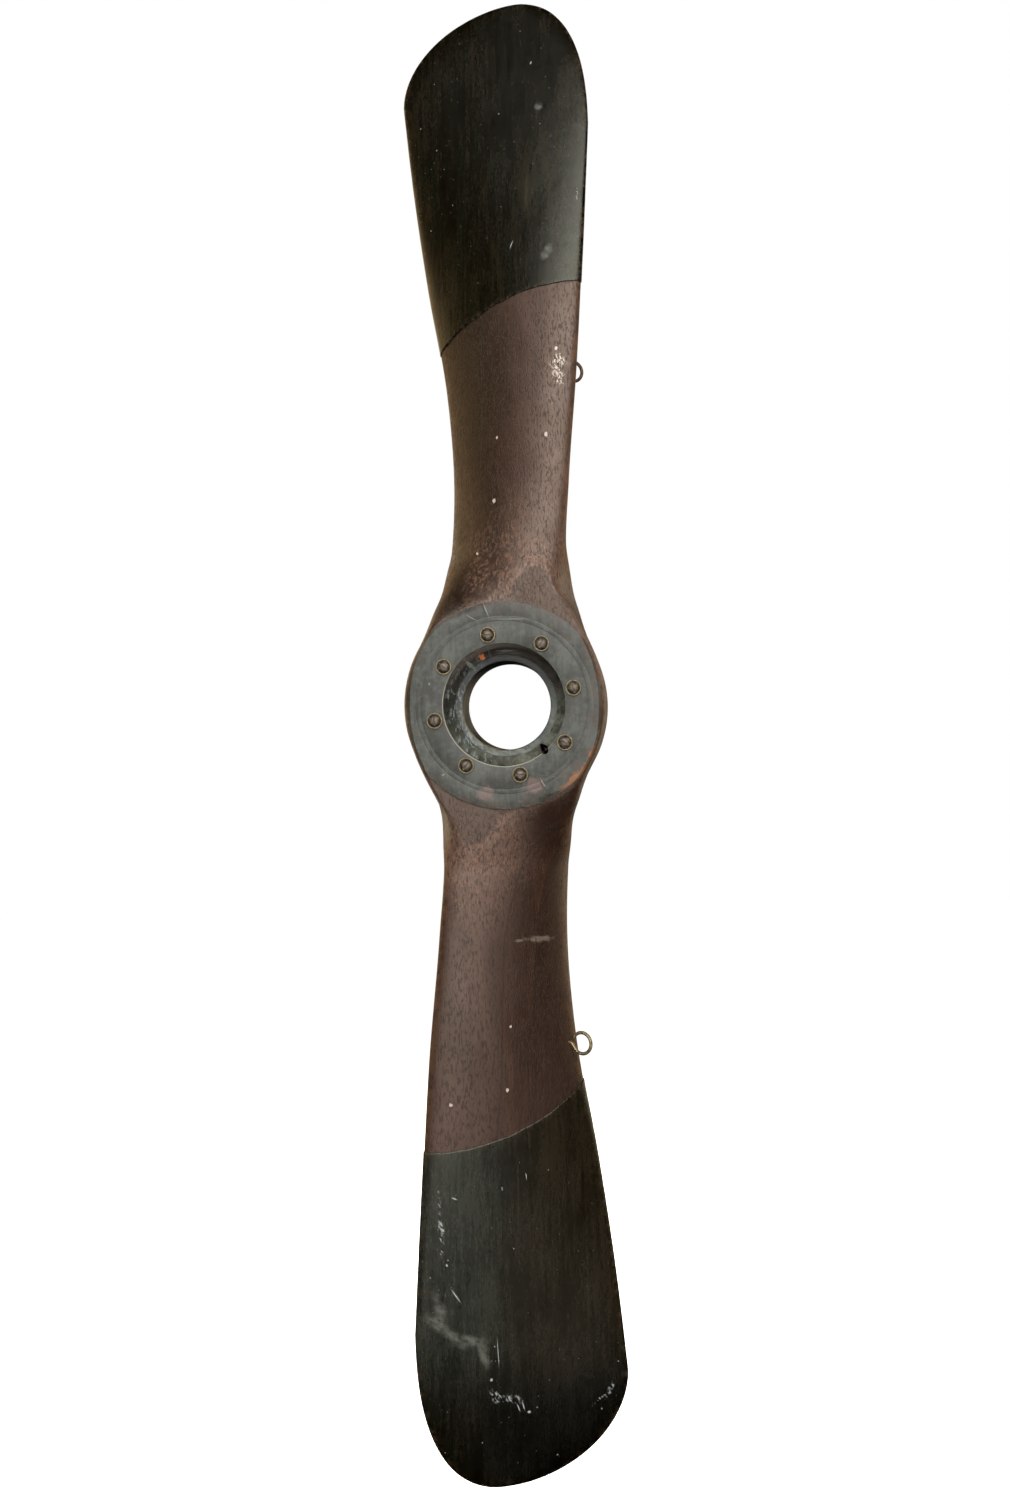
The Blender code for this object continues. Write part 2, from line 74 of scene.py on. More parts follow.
# ---- Driving sizes, as in the CAD part ----
FABRIC_THICK = 0.0007
FABRIC_GAP = 0.0003
FABRIC_PUFF = 0.00012
TIP_CLEARANCE = 0.0016
PLATE_RADIUS = 0.137
RING_MARKS = (0.1176, 0.1110)
PLATE_CRACKS = (  # X, Z, size and lean in degrees
    (-0.0232, 0.1268, (0.0017, 0.0024, 0.0240), -21), (0.0146, 0.1112, (0.0610, 0.0009, 0.0009), 2),
    (0.0465, -0.1054, (0.0013, 0.0020, 0.0170), -29),
)
BORE_RADIUS = 0.0595
SLEEVE_BEVEL = 0.0012
COUNTERBORE_RADIUS = 0.081
COUNTERBORE_DEPTH = 0.036
NOTCH_RADIUS = 0.0775
NOTCH_ANGLE = math.radians(-50)
NOTCH_DEPTH = 0.050
NOTCH_POINT = 0.012
NOTCH_LENGTH = 0.0162
NOTCH_WIDTH = 0.0132
BOLTS = 8
BOLT_RADIUS = 0.005
BOLT_HOLE = 0.0056
BOLT_SPIN = 2.4
BOLT_OVERHANG = 0.0045
THREAD_PITCH = 0.0015
THREAD_TURNS = 18
THREAD_DEPTH = 0.0008
HEAD_RADIUS = 0.0084
HEAD_SEAT = 0.0017
HEAD_EDGE = 0.0024
HEAD_CROWN = 0.0044
SLOT_WIDTH = 0.0017
SLOT_FLOOR = 0.0047
CUP_RADIUS = 0.0105
CUP_FLOOR = 0.0014
CUP_LIP = 0.0007
WASHER_RADIUS = 0.0110
WASHER_THICK = 0.0016
NUT_RADIUS = 0.0105
NUT_THICK = 0.008
NUT_SPIN = 1.3
SEAT_GAP = 0.0003
SOFT_RIM = 0.0003
EYE_WIRE = 0.0023
EYE_RING = 0.0137
EYE_TILT = math.radians(28)
EYE_SHANK = 0.031
EYE_STRAIGHT = 0.014
EYE_NECK = ((0.0052, 0.0), (0.0030, 0.0005), (0.0012, 0.0020))  # behind the ring and below
EYE_START = math.radians(207)
EYE_SWEEP = math.radians(308)
UPPER_EYE = (0.1050, -0.0215, 0.4555)
LOWER_EYE = (0.0852, 0.0172, -0.4517)
GLUE_LINE = 0.00006
CUT_MARGIN = 0.02
MERGE_DISTANCE = 1e-6
BLADE_TIP = TIP - TIP_CLEARANCE

# ---- The blade's drawing: distance from the shaft axis, then the offset there ----
LEADING_EDGE = (
    (0, 0.136), (0.03, 0.133), (0.06, 0.124), (0.09, 0.112), (0.12, 0.1), (0.15, 0.0885),
    (0.2, 0.0855), (0.3, 0.094), (0.45, 0.1105), (0.6, 0.123), (0.75, 0.134), (0.8, 0.1375),
)
TRAILING_EDGE = (
    (0, 0.136), (0.03, 0.133), (0.06, 0.124), (0.09, 0.1085), (0.12, 0.0935), (0.15, 0.079),
    (0.2, 0.0735), (0.3, 0.0685), (0.45, 0.077), (0.6, 0.1), (0.75, 0.1185), (0.876, 0.13),
)
THICKNESS = (
    (0, 0.15), (0.09, 0.15), (0.13, 0.138), (0.16, 0.116), (0.2, 0.09), (0.25, 0.071),
    (0.3, 0.058), (0.4, 0.043), (0.5, 0.035), (0.6, 0.028), (0.7, 0.022), (0.8, 0.0168),
    (0.9, 0.012), (1, 0.0064),
)
LEADING_ROUND = 2.45
TRAILING_ROUND = 1.94
TIP_OFFSET = 0.0275
TIP_CHORD = 0.03
TIP_TAPER_START = 0.9
PITCH_SLOPE = 0.300
ROOT_SLOPE = 0.585
SLOPE_BLEND = 4
SETBACK = 0.0035
FRONT_BULGE = 0.33
NOSE_FULLNESS = 0.28
HUB_SQUARENESS = 7.0
HUB_SOFTNESS = 0.0013
TWIST_SPAN = (0.08, 0.24)
SQUARE_SPAN = (0.08, 0.22)
SETBACK_SPAN = (0.14, 0.32)
BULGE_SPAN = (0.2, 0.6)
NOSE_SPAN = (0.2, 0.5)
HUB_SIDE_SPAN = (0.12, 0.20)
EDGE_WEAR = 0.004
CORNER_WEAR = 0.007
FABRIC_END_LEADING = 0.572
FABRIC_END_TRAILING = 0.503

# ---- Mesh fineness ----
COLUMNS = 104
HUB_STEP = 0.004
HUB_REACH = 0.180
BLADE_STEP = 0.0065
TIP_ROWS = 34
TIP_SWEEP = math.radians(89)
SKIN_ROWS = 40
BORE_SEGMENTS = 160
FASTENER_SEGMENTS = 48
EYE_HOLE_SEGMENTS = 24
NOTCH_POINTS = 40
EYE_STEPS = 40
SHARP = math.radians(35)


# ---- Mesh helpers ----
def flat_mesh(bm, name):
    """A mesh from a bmesh, which is then freed."""
    mesh = bpy.data.meshes.new(name)
    bm.to_mesh(mesh)
    bm.free()
    return mesh


def mesh_from(bm, name):
    """A mesh from a bmesh, smooth except across real edges and edges already marked sharp."""
    for edge in bm.edges:
        if len(edge.link_faces) == 2 and edge.calc_face_angle(0.0) > SHARP:
            edge.smooth = False
    for face in bm.faces:
        face.smooth = True
    return flat_mesh(bm, name)


def smoothed(mesh, name):
    """The same mesh again, as mesh_from shades it."""
    bm = bmesh.new()
    bm.from_mesh(mesh)
    return mesh_from(bm, name)


def add(name, data, finish=None):
    """An object in the scene, with its material."""
    made = bpy.data.objects.new(name, data)
    bpy.context.scene.collection.objects.link(made)
    if finish:
        data.materials.clear()
        data.materials.append(finish)
    return made


def place_piece(made, slot, *nodes):
    """Fix a piece to the propeller's one body, in place of the plain nodes it stands for."""
    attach(made, "root")
    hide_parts(*nodes)


def lathe(profile, segments, closed):
    """A bmesh turned round +Z from points given as radius and height."""
    bm = bmesh.new()
    rings = []
    for radius, height in profile:
        if radius < 1e-7:
            rings.append([bm.verts.new((0, 0, height))])
            continue
        angles = [2 * math.pi * k / segments for k in range(segments)]
        rings.append([bm.verts.new((radius * math.cos(a), radius * math.sin(a), height)) for a in angles])
    pairs = list(zip(rings, rings[1:]))
    if closed:
        pairs.append((rings[-1], rings[0]))
    for first, second in pairs:
        for k in range(segments):
            after = (k + 1) % segments
            corners = [first[k % len(first)], first[after % len(first)], second[after % len(second)],
                       second[k % len(second)]]
            unique = list(dict.fromkeys(corners))
            if len(unique) > 2:
                bm.faces.new(unique)
    bmesh.ops.recalc_face_normals(bm, faces=bm.faces)
    return bm


def rod(bm, start, end, radius, segments):
    """Add a cylinder between two points to a bmesh."""
    along = Vector(end) - Vector(start)
    centre = Matrix.Translation((Vector(start) + Vector(end)) / 2)
    turn = along.to_track_quat("Z", "Y").to_matrix().to_4x4()
    bmesh.ops.create_cone(
        bm, cap_ends=True, segments=segments, radius1=radius, radius2=radius,
        depth=along.length, matrix=centre @ turn,
    )


def box(bm, centre, size, turn=0.0):
    """Add a box to a bmesh, turned about Y."""
    matrix = Matrix.Translation(centre) @ Matrix.Rotation(turn, 4, "Y") @ Matrix.Diagonal((*size, 1.0))
    bmesh.ops.create_cube(bm, size=1.0, matrix=matrix)


def evaluated_mesh(thing):
    """An object's mesh as its modifiers or its curve leave it."""
    seen = thing.evaluated_get(bpy.context.evaluated_depsgraph_get())
    return bpy.data.meshes.new_from_object(seen)


def carve(thing, cutter, operation="DIFFERENCE"):
    """Cut or trim an object by a mesh, at once."""
    tool = add("cutter", cutter)
    step = thing.modifiers.new("cut", "BOOLEAN")
    step.operation = operation
    step.object = tool
    step.solver = "EXACT"
    mesh = evaluated_mesh(thing)
    thing.modifiers.clear()
    thing.data = mesh
    bpy.data.objects.remove(tool)


def facing(side):
    """The turn that points a piece's own +Z out of the front (-1) or the back (1) of the hub."""
    return Euler((-side * math.pi / 2, 0, 0)).to_matrix().to_4x4()


# ---- The carved shape ----
def ease(start, end, value):
    """0 before start, 1 after end, and a smooth step between."""
    t = min(max((value - start) / (end - start), 0.0), 1.0)
    return t * t * (3 - 2 * t)


@functools.lru_cache(maxsize=None)
def slopes(rows):
    """The slope of a smooth curve at each row of a drawing table."""
    steps = [(rows[i + 1][1] - rows[i][1]) / (rows[i + 1][0] - rows[i][0]) for i in range(len(rows) - 1)]
    inner = []
    for i in range(1, len(rows) - 1):
        before = rows[i][0] - rows[i - 1][0]
        after = rows[i + 1][0] - rows[i][0]
        inner.append((steps[i - 1] * after + steps[i] * before) / (before + after))
    return [0.0, *inner, steps[-1]]


def read(rows, radius):
    """The drawing table's value at a radius, on a smooth curve through its rows."""
    radius = min(max(radius, rows[0][0]), rows[-1][0])
    i = max(k for k in range(len(rows) - 1) if rows[k][0] <= radius)
    (r0, v0), (r1, v1) = rows[i], rows[i + 1]
    m0, m1 = slopes(rows)[i:i + 2]
    span = r1 - r0
    t = (radius - r0) / span
    held = (2 * t**3 - 3 * t**2 + 1) * v0 + (3 * t**2 - 2 * t**3) * v1
    return held + span * ((t**3 - 2 * t**2 + t) * m0 + (t**3 - t**2) * m1)


def edge_offset(rows, roundness, tip_offset, radius):
    """How far an edge lies from the blade's axis, with its rounded end."""
    shoulder, width = rows[-1]
    if radius <= shoulder:
        return read(rows, radius)
    out = min((radius - shoulder) / (BLADE_TIP - shoulder), 1.0)
    return tip_offset + (width - tip_offset) * (1 - out**roundness) ** (1 / roundness)


def edges(radius):
    """How far the leading and the trailing edge lie from the blade's axis."""
    return (edge_offset(LEADING_EDGE, LEADING_ROUND, TIP_OFFSET, radius),
            edge_offset(TRAILING_EDGE, TRAILING_ROUND, -TIP_OFFSET, radius))


@functools.lru_cache(maxsize=4)
def section(radius):
    """The measures that one section of the blade is drawn from."""
    leading, trailing = edges(radius)
    outer = PITCH_SLOPE / max(radius, 0.02)
    slope = (outer**-SLOPE_BLEND + ROOT_SLOPE**-SLOPE_BLEND) ** (-1 / SLOPE_BLEND)
    tilt = math.atan(slope * ease(*TWIST_SPAN, radius))
    thick = read(THICKNESS, radius)
    half_chord = (leading + trailing) / 2 / math.cos(tilt)
    if radius > TIP_TAPER_START:
        thick *= min(1.0, half_chord / TIP_CHORD)
    middle = (leading - trailing) / 2 / math.cos(tilt)
    front_share = 0.5 + FRONT_BULGE * ease(*BULGE_SPAN, radius)
    exponent = 2 / (HUB_SQUARENESS - (HUB_SQUARENESS - 2) * ease(*SQUARE_SPAN, radius))
    nose = NOSE_FULLNESS * ease(*NOSE_SPAN, radius)
    setback = SETBACK * ease(*SETBACK_SPAN, radius)
    return middle, half_chord, tilt, thick, front_share, exponent, nose, setback


def power(value, exponent):
    """A signed power, which squares off an ellipse."""
    return math.copysign(abs(value) ** exponent, value)


def waviness(x, z):
    """How far the hand-finished surface wanders back and forth there."""
    wide = noise.noise(Vector((x * 14, 3.1, z * 7)))
    small = noise.noise(Vector((x * 40, 7.7, z * 22)))
    return (0.0005 * wide + 0.00018 * small) * ease(0.16, 0.3, abs(z))


def levelled(y):
    """Y held back to the hub's flat faces, with the corner where they meet the blade softened."""
    limit = WOOD_HALF - 0.00002
    over = (abs(y) - limit) / HUB_SOFTNESS
    held = limit - HUB_SOFTNESS * math.log1p(math.exp(-over)) if over > -20 else abs(y)
    return math.copysign(held, y)


def surface_point(height, angle, flat_hub=True):
    """A point of the carved surface at a height along the blades. Angle 0 is the right-hand edge
    seen from the front, and a quarter turn is the middle of the front face."""
    if height < 0:
        angle = math.pi - angle
    middle, half_chord, tilt, thick, front_share, exponent, nose, setback = section(abs(height))
    across = power(math.cos(angle), exponent)
    through = power(math.sin(angle), exponent)
    along = middle + half_chord * across
    share = front_share if through > 0 else 1 - front_share
    rise = thick * share * through * (1 + nose * across)
    x = along * math.cos(tilt) - rise * math.sin(tilt)
    y = -along * math.sin(tilt) - rise * math.cos(tilt) + setback
    x = x if height >= 0 else -x
    y += waviness(x, height)
    return Vector((x, levelled(y) if flat_hub else y, height))


def column_angles():
    """The angles of the points round one section, a little closer together at the edges."""
    turns = [2 * math.pi * k / COLUMNS for k in range(COLUMNS)]
    return [a - 0.18 * math.sin(2 * a) for a in turns]


def tip_radii():
    """Radii of the sections round the tip, closer together towards its end."""
    shoulder = LEADING_EDGE[-1][0]
    angles = [TIP_SWEEP * k / TIP_ROWS for k in range(TIP_ROWS + 1)]
    return [shoulder + (BLADE_TIP - shoulder) * math.sin(a) for a in angles]


def even_radii(start, end, step):
    """Radii from start up to, but not at, end."""
    count = max(1, round((end - start) / step))
    return [start + (end - start) * k / count for k in range(count)]


def bridge(bm, rings):
    """Quads between neighbouring rings of points."""
    for lower, upper in zip(rings, rings[1:]):
        for k in range(len(lower)):
            after = (k + 1) % len(lower)
            bm.faces.new((lower[k], lower[after], upper[after], upper[k]))


def carved_blank(flat_hub=True):
    """The whole carved outside, tip to tip, with or without the hub's flat faces."""
    bm = bmesh.new()
    radii = even_radii(0.0, HUB_REACH, HUB_STEP) + even_radii(HUB_REACH, LEADING_EDGE[-1][0], BLADE_STEP)
    radii += tip_radii()
    heights = [-r for r in reversed(radii[1:])] + radii
    rings = [[bm.verts.new(surface_point(h, a, flat_hub)) for a in column_angles()] for h in heights]
    bridge(bm, rings)
    bm.faces.new(rings[0])
    bm.faces.new(rings[-1])
    bmesh.ops.recalc_face_normals(bm, faces=bm.faces)
    return flat_mesh(bm, "carved_blank")


# ---- Cutters ----
def bolt_places():
    """Where each bolt crosses the hub, as X and Z, from the frame."""
    boxes = [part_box(f"hub_bolt_{k + 1}") for k in range(BOLTS)]
    return [((low.x + high.x) / 2, (low.z + high.z) / 2) for low, high in boxes]


def eye_way(side):
    """The way a screw eye stands out of the wood: to the right, and forward for the lower one."""
    return Vector((math.cos(EYE_TILT), side * math.sin(EYE_TILT), 0))


def wood_cutter():
    """The stepped bore, the bolt holes and the holes for the screw eyes, in one mesh."""
    reach = PLATE_FACE + CUT_MARGIN
    step = WOOD_HALF - COUNTERBORE_DEPTH
    narrow = SLEEVE_RADIUS + 0.0002
    profile = [(0, reach), (COUNTERBORE_RADIUS, reach), (COUNTERBORE_RADIUS, step), (narrow, step),
               (narrow, -reach), (0, -reach)]
    bm = lathe(profile, BORE_SEGMENTS, False)
    bm.transform(facing(-1))
    for x, z in bolt_places():
        rod(bm, (x, -reach, z), (x, reach, z), BOLT_HOLE, FASTENER_SEGMENTS)
    for centre, side in ((UPPER_EYE, 1), (LOWER_EYE, -1)):
        way = eye_way(side)
        start = Vector(centre) - way * (EYE_SHANK + SEAT_GAP)
        rod(bm, start, Vector(centre) - way * EYE_RING, EYE_WIRE + 0.0004, EYE_HOLE_SEGMENTS)
    return flat_mesh(bm, "wood_cutter")


def notch_cutter():
    """The drop-shaped dowel notch that breaks into the counterbore's rim, with a pointed floor."""
    front = -PLATE_FACE - CUT_MARGIN
    back = NOTCH_DEPTH - WOOD_HALF
    outline = []
    for k in range(NOTCH_POINTS):
        a = 2 * math.pi * k / NOTCH_POINTS
        pull = 0.75 + 0.25 * math.cos(a)
        outline.append((NOTCH_RADIUS + NOTCH_LENGTH / 2 * math.cos(a),
                        NOTCH_WIDTH / 2 * math.sin(a) * pull))
    bm = bmesh.new()
    turn = Matrix.Rotation(-NOTCH_ANGLE, 4, "Y")
    rings = [[bm.verts.new(turn @ Vector((r, y, s))) for r, s in outline] for y in (front, back)]
    bridge(bm, rings)
    bm.faces.new(rings[0])
    point = bm.verts.new(turn @ Vector((NOTCH_RADIUS, back + NOTCH_POINT, 0)))
    for k in range(NOTCH_POINTS):
        bm.faces.new((rings[1][k], rings[1][(k + 1) % NOTCH_POINTS], point))
    bmesh.ops.recalc_face_normals(bm, faces=bm.faces)
    return flat_mesh(bm, "notch_cutter")


# ---- Procedural materials ----
class Finish:
    """A Principled material, with short calls that add the nodes behind it."""

    def __init__(self, name):
        self.material = bpy.data.materials.new(name)
        self.material.use_nodes = True
        self.tree = self.material.node_tree
        self.shader = self.tree.nodes["Principled BSDF"]
        self.coordinates = self.node("TexCoord")
        self.place = self.coordinates["Object"]
        self.colour = None

    def feed(self, socket, value):
        """Link a socket, or set it to a plain value."""
        if isinstance(value, bpy.types.NodeSocket):
            self.tree.links.new(value, socket)
        elif isinstance(value, tuple) and len(value) == 3 and socket.type == "RGBA":
            socket.default_value = (*value, 1.0)
        else:
            socket.default_value = value

    def node(self, kind, given=(), **settings):
        """The outputs of a new node, whose inputs are given by name or number."""
        made = self.tree.nodes.new("ShaderNode" + kind)
        for key, value in settings.items():
            setattr(made, key, value)
        for key, value in dict(given).items():
            self.feed(made.inputs[key], value)
        return made.outputs

    def set(self, name, value):
        self.feed(self.shader.inputs[name], value)

    def math(self, operation, *values):
        return self.node("Math", enumerate(values), operation=operation)[0]

    def product(self, *values):
        return functools.reduce(functools.partial(self.math, "MULTIPLY"), values)

    def most(self, *values):
        return functools.reduce(functools.partial(self.math, "MAXIMUM"), values)

    def fused(self, value, factor, added):
        """The value times the factor, plus what is added."""
        return self.math("MULTIPLY_ADD", value, factor, added)

    def rest(self, value):
        """What is left of 1."""
        return self.math("SUBTRACT", 1.0, value)

    def apart(self, value, centre=0.0):
        """How far a value is from a centre, either way."""
        return self.math("ABSOLUTE", self.math("SUBTRACT", value, centre))

    def off_axis(self, x, z):
        """The distance from the shaft axis."""
        return self.math("SQRT", self.math("ADD", self.product(x, x), self.product(z, z)))

    def fade(self, value, start, end, low=0.0, high=1.0):
        """A smooth change from low to high as a value goes from start to end."""
        given = {"Value": value, "From Min": start, "From Max": end, "To Min": low, "To Max": high}
        return self.node("MapRange", given, interpolation_type="SMOOTHSTEP", clamp=True)[0]

    def over(self, under, colour, *shares):
        """A colour laid over another one, as strongly as the product of the shares."""
        return self.node("Mix", {0: self.product(*shares), 6: under, 7: colour}, data_type="RGBA")[2]

    def coat(self, colour, *shares):
        """Lay a colour over the material's own."""
        self.colour = self.over(self.colour, colour, *shares)

    def ramp(self, value, *stops):
        """Colours along a value, each stop a position and a colour."""
        made = self.node("ValToRGB", {0: value})[0]
        points = made.node.color_ramp.elements
        for k, (position, colour) in enumerate(stops):
            point = points[k] if k < 2 else points.new(position)
            point.position = position
            point.color = (*colour, 1.0)
        return made

    def scaled(self, vector, scale, shift=(0.0, 0.0, 0.0)):
        return self.node("Mapping", {"Vector": vector, "Location": shift, "Scale": scale})[0]

    def slanted(self, vector, turn, scale):
        """A place laid over about Y, in degrees, and then scaled."""
        given = {"Vector": vector, "Angle": math.radians(turn)}
        return self.scaled(self.node("VectorRotate", given, rotation_type="Y_AXIS")[0], scale)

    def noise(self, scale, detail, roughness, distortion=0.0, place=None):
        given = {"Scale": scale, "Detail": detail, "Roughness": roughness, "Distortion": distortion}
        return self.node("TexNoise", {"Vector": place or self.place, **given})[0]

    def grain(self, stretch, *measures, shift=(0.0, 0.0, 0.0), place=None):
        """Noise over a place that is scaled by stretch along X, Y and Z."""
        return self.noise(*measures, place=self.scaled(place or self.place, stretch, shift))

    def cells(self, vector, scale, feature="F1"):
        return self.node("TexVoronoi", {"Vector": vector, "Scale": scale}, feature=feature)

    def split(self, vector):
        return self.node("SeparateXYZ", {0: vector})

    def join(self, *values):
        return self.node("CombineXYZ", enumerate(values))[0]

    def written(self, name):
        """A value that was written on the mesh's points."""
        return self.node("Attribute", attribute_name=name)["Fac"]

    def frontal(self):
        """1 where the surface faces the front of the propeller."""
        backward = self.split(self.coordinates["Normal"])[1]
        return self.fade(self.product(backward, -1.0), 0.05, 0.35)

    def patch(self, x, z, width, height, turn=0.0, ragged=0.5, grain=60.0, soft=0.6):
        """A mark of that size at X and Z, with ragged edges. Turn lays it over, in degrees."""
        shifted = self.node("VectorMath", {0: self.place, 1: (x, 0.0, z)}, operation="SUBTRACT")[0]
        sized = self.slanted(shifted, turn, (2 / width, 0.0, 2 / height))
        length = self.node("VectorMath", {0: sized}, operation="LENGTH")["Value"]
        rough = self.math("SUBTRACT", self.noise(grain, 6, 0.65), 0.5)
        return self.fade(self.fused(rough, -4 * ragged, length), 1.0, 1.0 - soft)

    def patches(self, *rows, **look):
        """Several marks in one mask, each row as patch takes it."""
        return self.most(*(self.patch(*row, **look) for row in rows))

    def specks(self, scale, size, share):
        """Small round spots, in that share of a grid of cells."""
        grid = self.cells(self.place, scale)
        chosen = self.math("LESS_THAN", self.split(grid["Color"])[0], share)
        return self.product(chosen, self.fade(grid["Distance"], size, size * 0.6))

    def relief(self, *layers):
        """Bump from several heights, each with its depth in metres and its strength."""
        under = {}
        for height, depth, strength in layers:
            given = {"Strength": strength, "Distance": depth, "Height": height}
            under = {"Normal": self.node("Bump", {**given, **under})[0]}
        self.set("Normal", under["Normal"])


def bore_paint(f):
    """Green-black paint inside the bore: scratched walls, a lighter front-facing ledge, painted shade
    towards the top and on the ledge's upper left, and pale strokes that are partly painted highlight.
    """
    x, y, z = f.split(f.place)
    radius = f.off_axis(x, z)
    turn = f.math("ARCTAN2", z, x)
    wall = f.join(f.product(turn, 0.08), f.product(y, 1.3), radius)
    scratches = f.fade(f.grain((0.45, 1, 1), 420, 4, 0.7, 0.6, place=wall), 0.52, 0.66)
    grime = f.noise(75, 7, 0.68)
    walls = f.ramp(grime, (0.38, (0.006, 0.01, 0.008)), (0.52, (0.022, 0.034, 0.028)),
                   (0.66, (0.06, 0.08, 0.066)))
    walls = f.over(walls, (0.15, 0.17, 0.14), scratches, 0.6)
    ledge = f.ramp(grime, (0.4, (0.014, 0.019, 0.013)), (0.5, (0.042, 0.055, 0.04)),
                   (0.62, (0.09, 0.105, 0.078)))
    # Pale strokes on the left of the ledge: brush strokes with painted highlights on them, dimmed in the
    # painted shade at the top.
    strokes = f.grain((1.0, 1.0, 0.4), 210, 4, 0.65, 1.0, shift=(0.3, 0.0, 0.8))
    strokes = f.product(f.fade(strokes, 0.53, 0.6), f.fade(x, 0.0, -0.045, 0.04, 1.0))
    paint = f.over(walls, ledge, f.frontal())
    # Painted shade: the paint darkens towards the top of the bore, where the rim above shades it.
    top_shade = f.fade(f.fused(grime, 0.03, z), -0.005, 0.062)
    paint = f.over(paint, (0.0022, 0.0028, 0.0022), top_shade, 0.94)
    # Painted shade on the upper left of the front-facing ledge.
    left = f.product(f.fade(x, -0.02, -0.05), f.fade(z, -0.055, -0.02))
    paint = f.over(paint, (0.006, 0.008, 0.006), left, f.frontal(), 0.75)
    paint = f.over(paint, (0.17, 0.205, 0.2), strokes, f.frontal(), f.fade(top_shade, 1.0, 0.4, 0.3, 0.85))
    golden = f.product(f.fade(radius, BORE_RADIUS + 0.006, BORE_RADIUS + 0.002), f.fade(x, 0.02, -0.03))
    paint = f.over(paint, (0.1, 0.078, 0.034), golden, f.frontal(), f.fade(z, 0.01, -0.02), 0.5)
    chips = f.patches((-0.048, 0.056, 0.02, 0.007, -40, 0.5, 120),
                      (0.0, 0.0735, 0.034, 0.0024, 0, 0.4, 120))
    return f.over(paint, (0.16, 0.19, 0.165), chips, 0.7), scratches


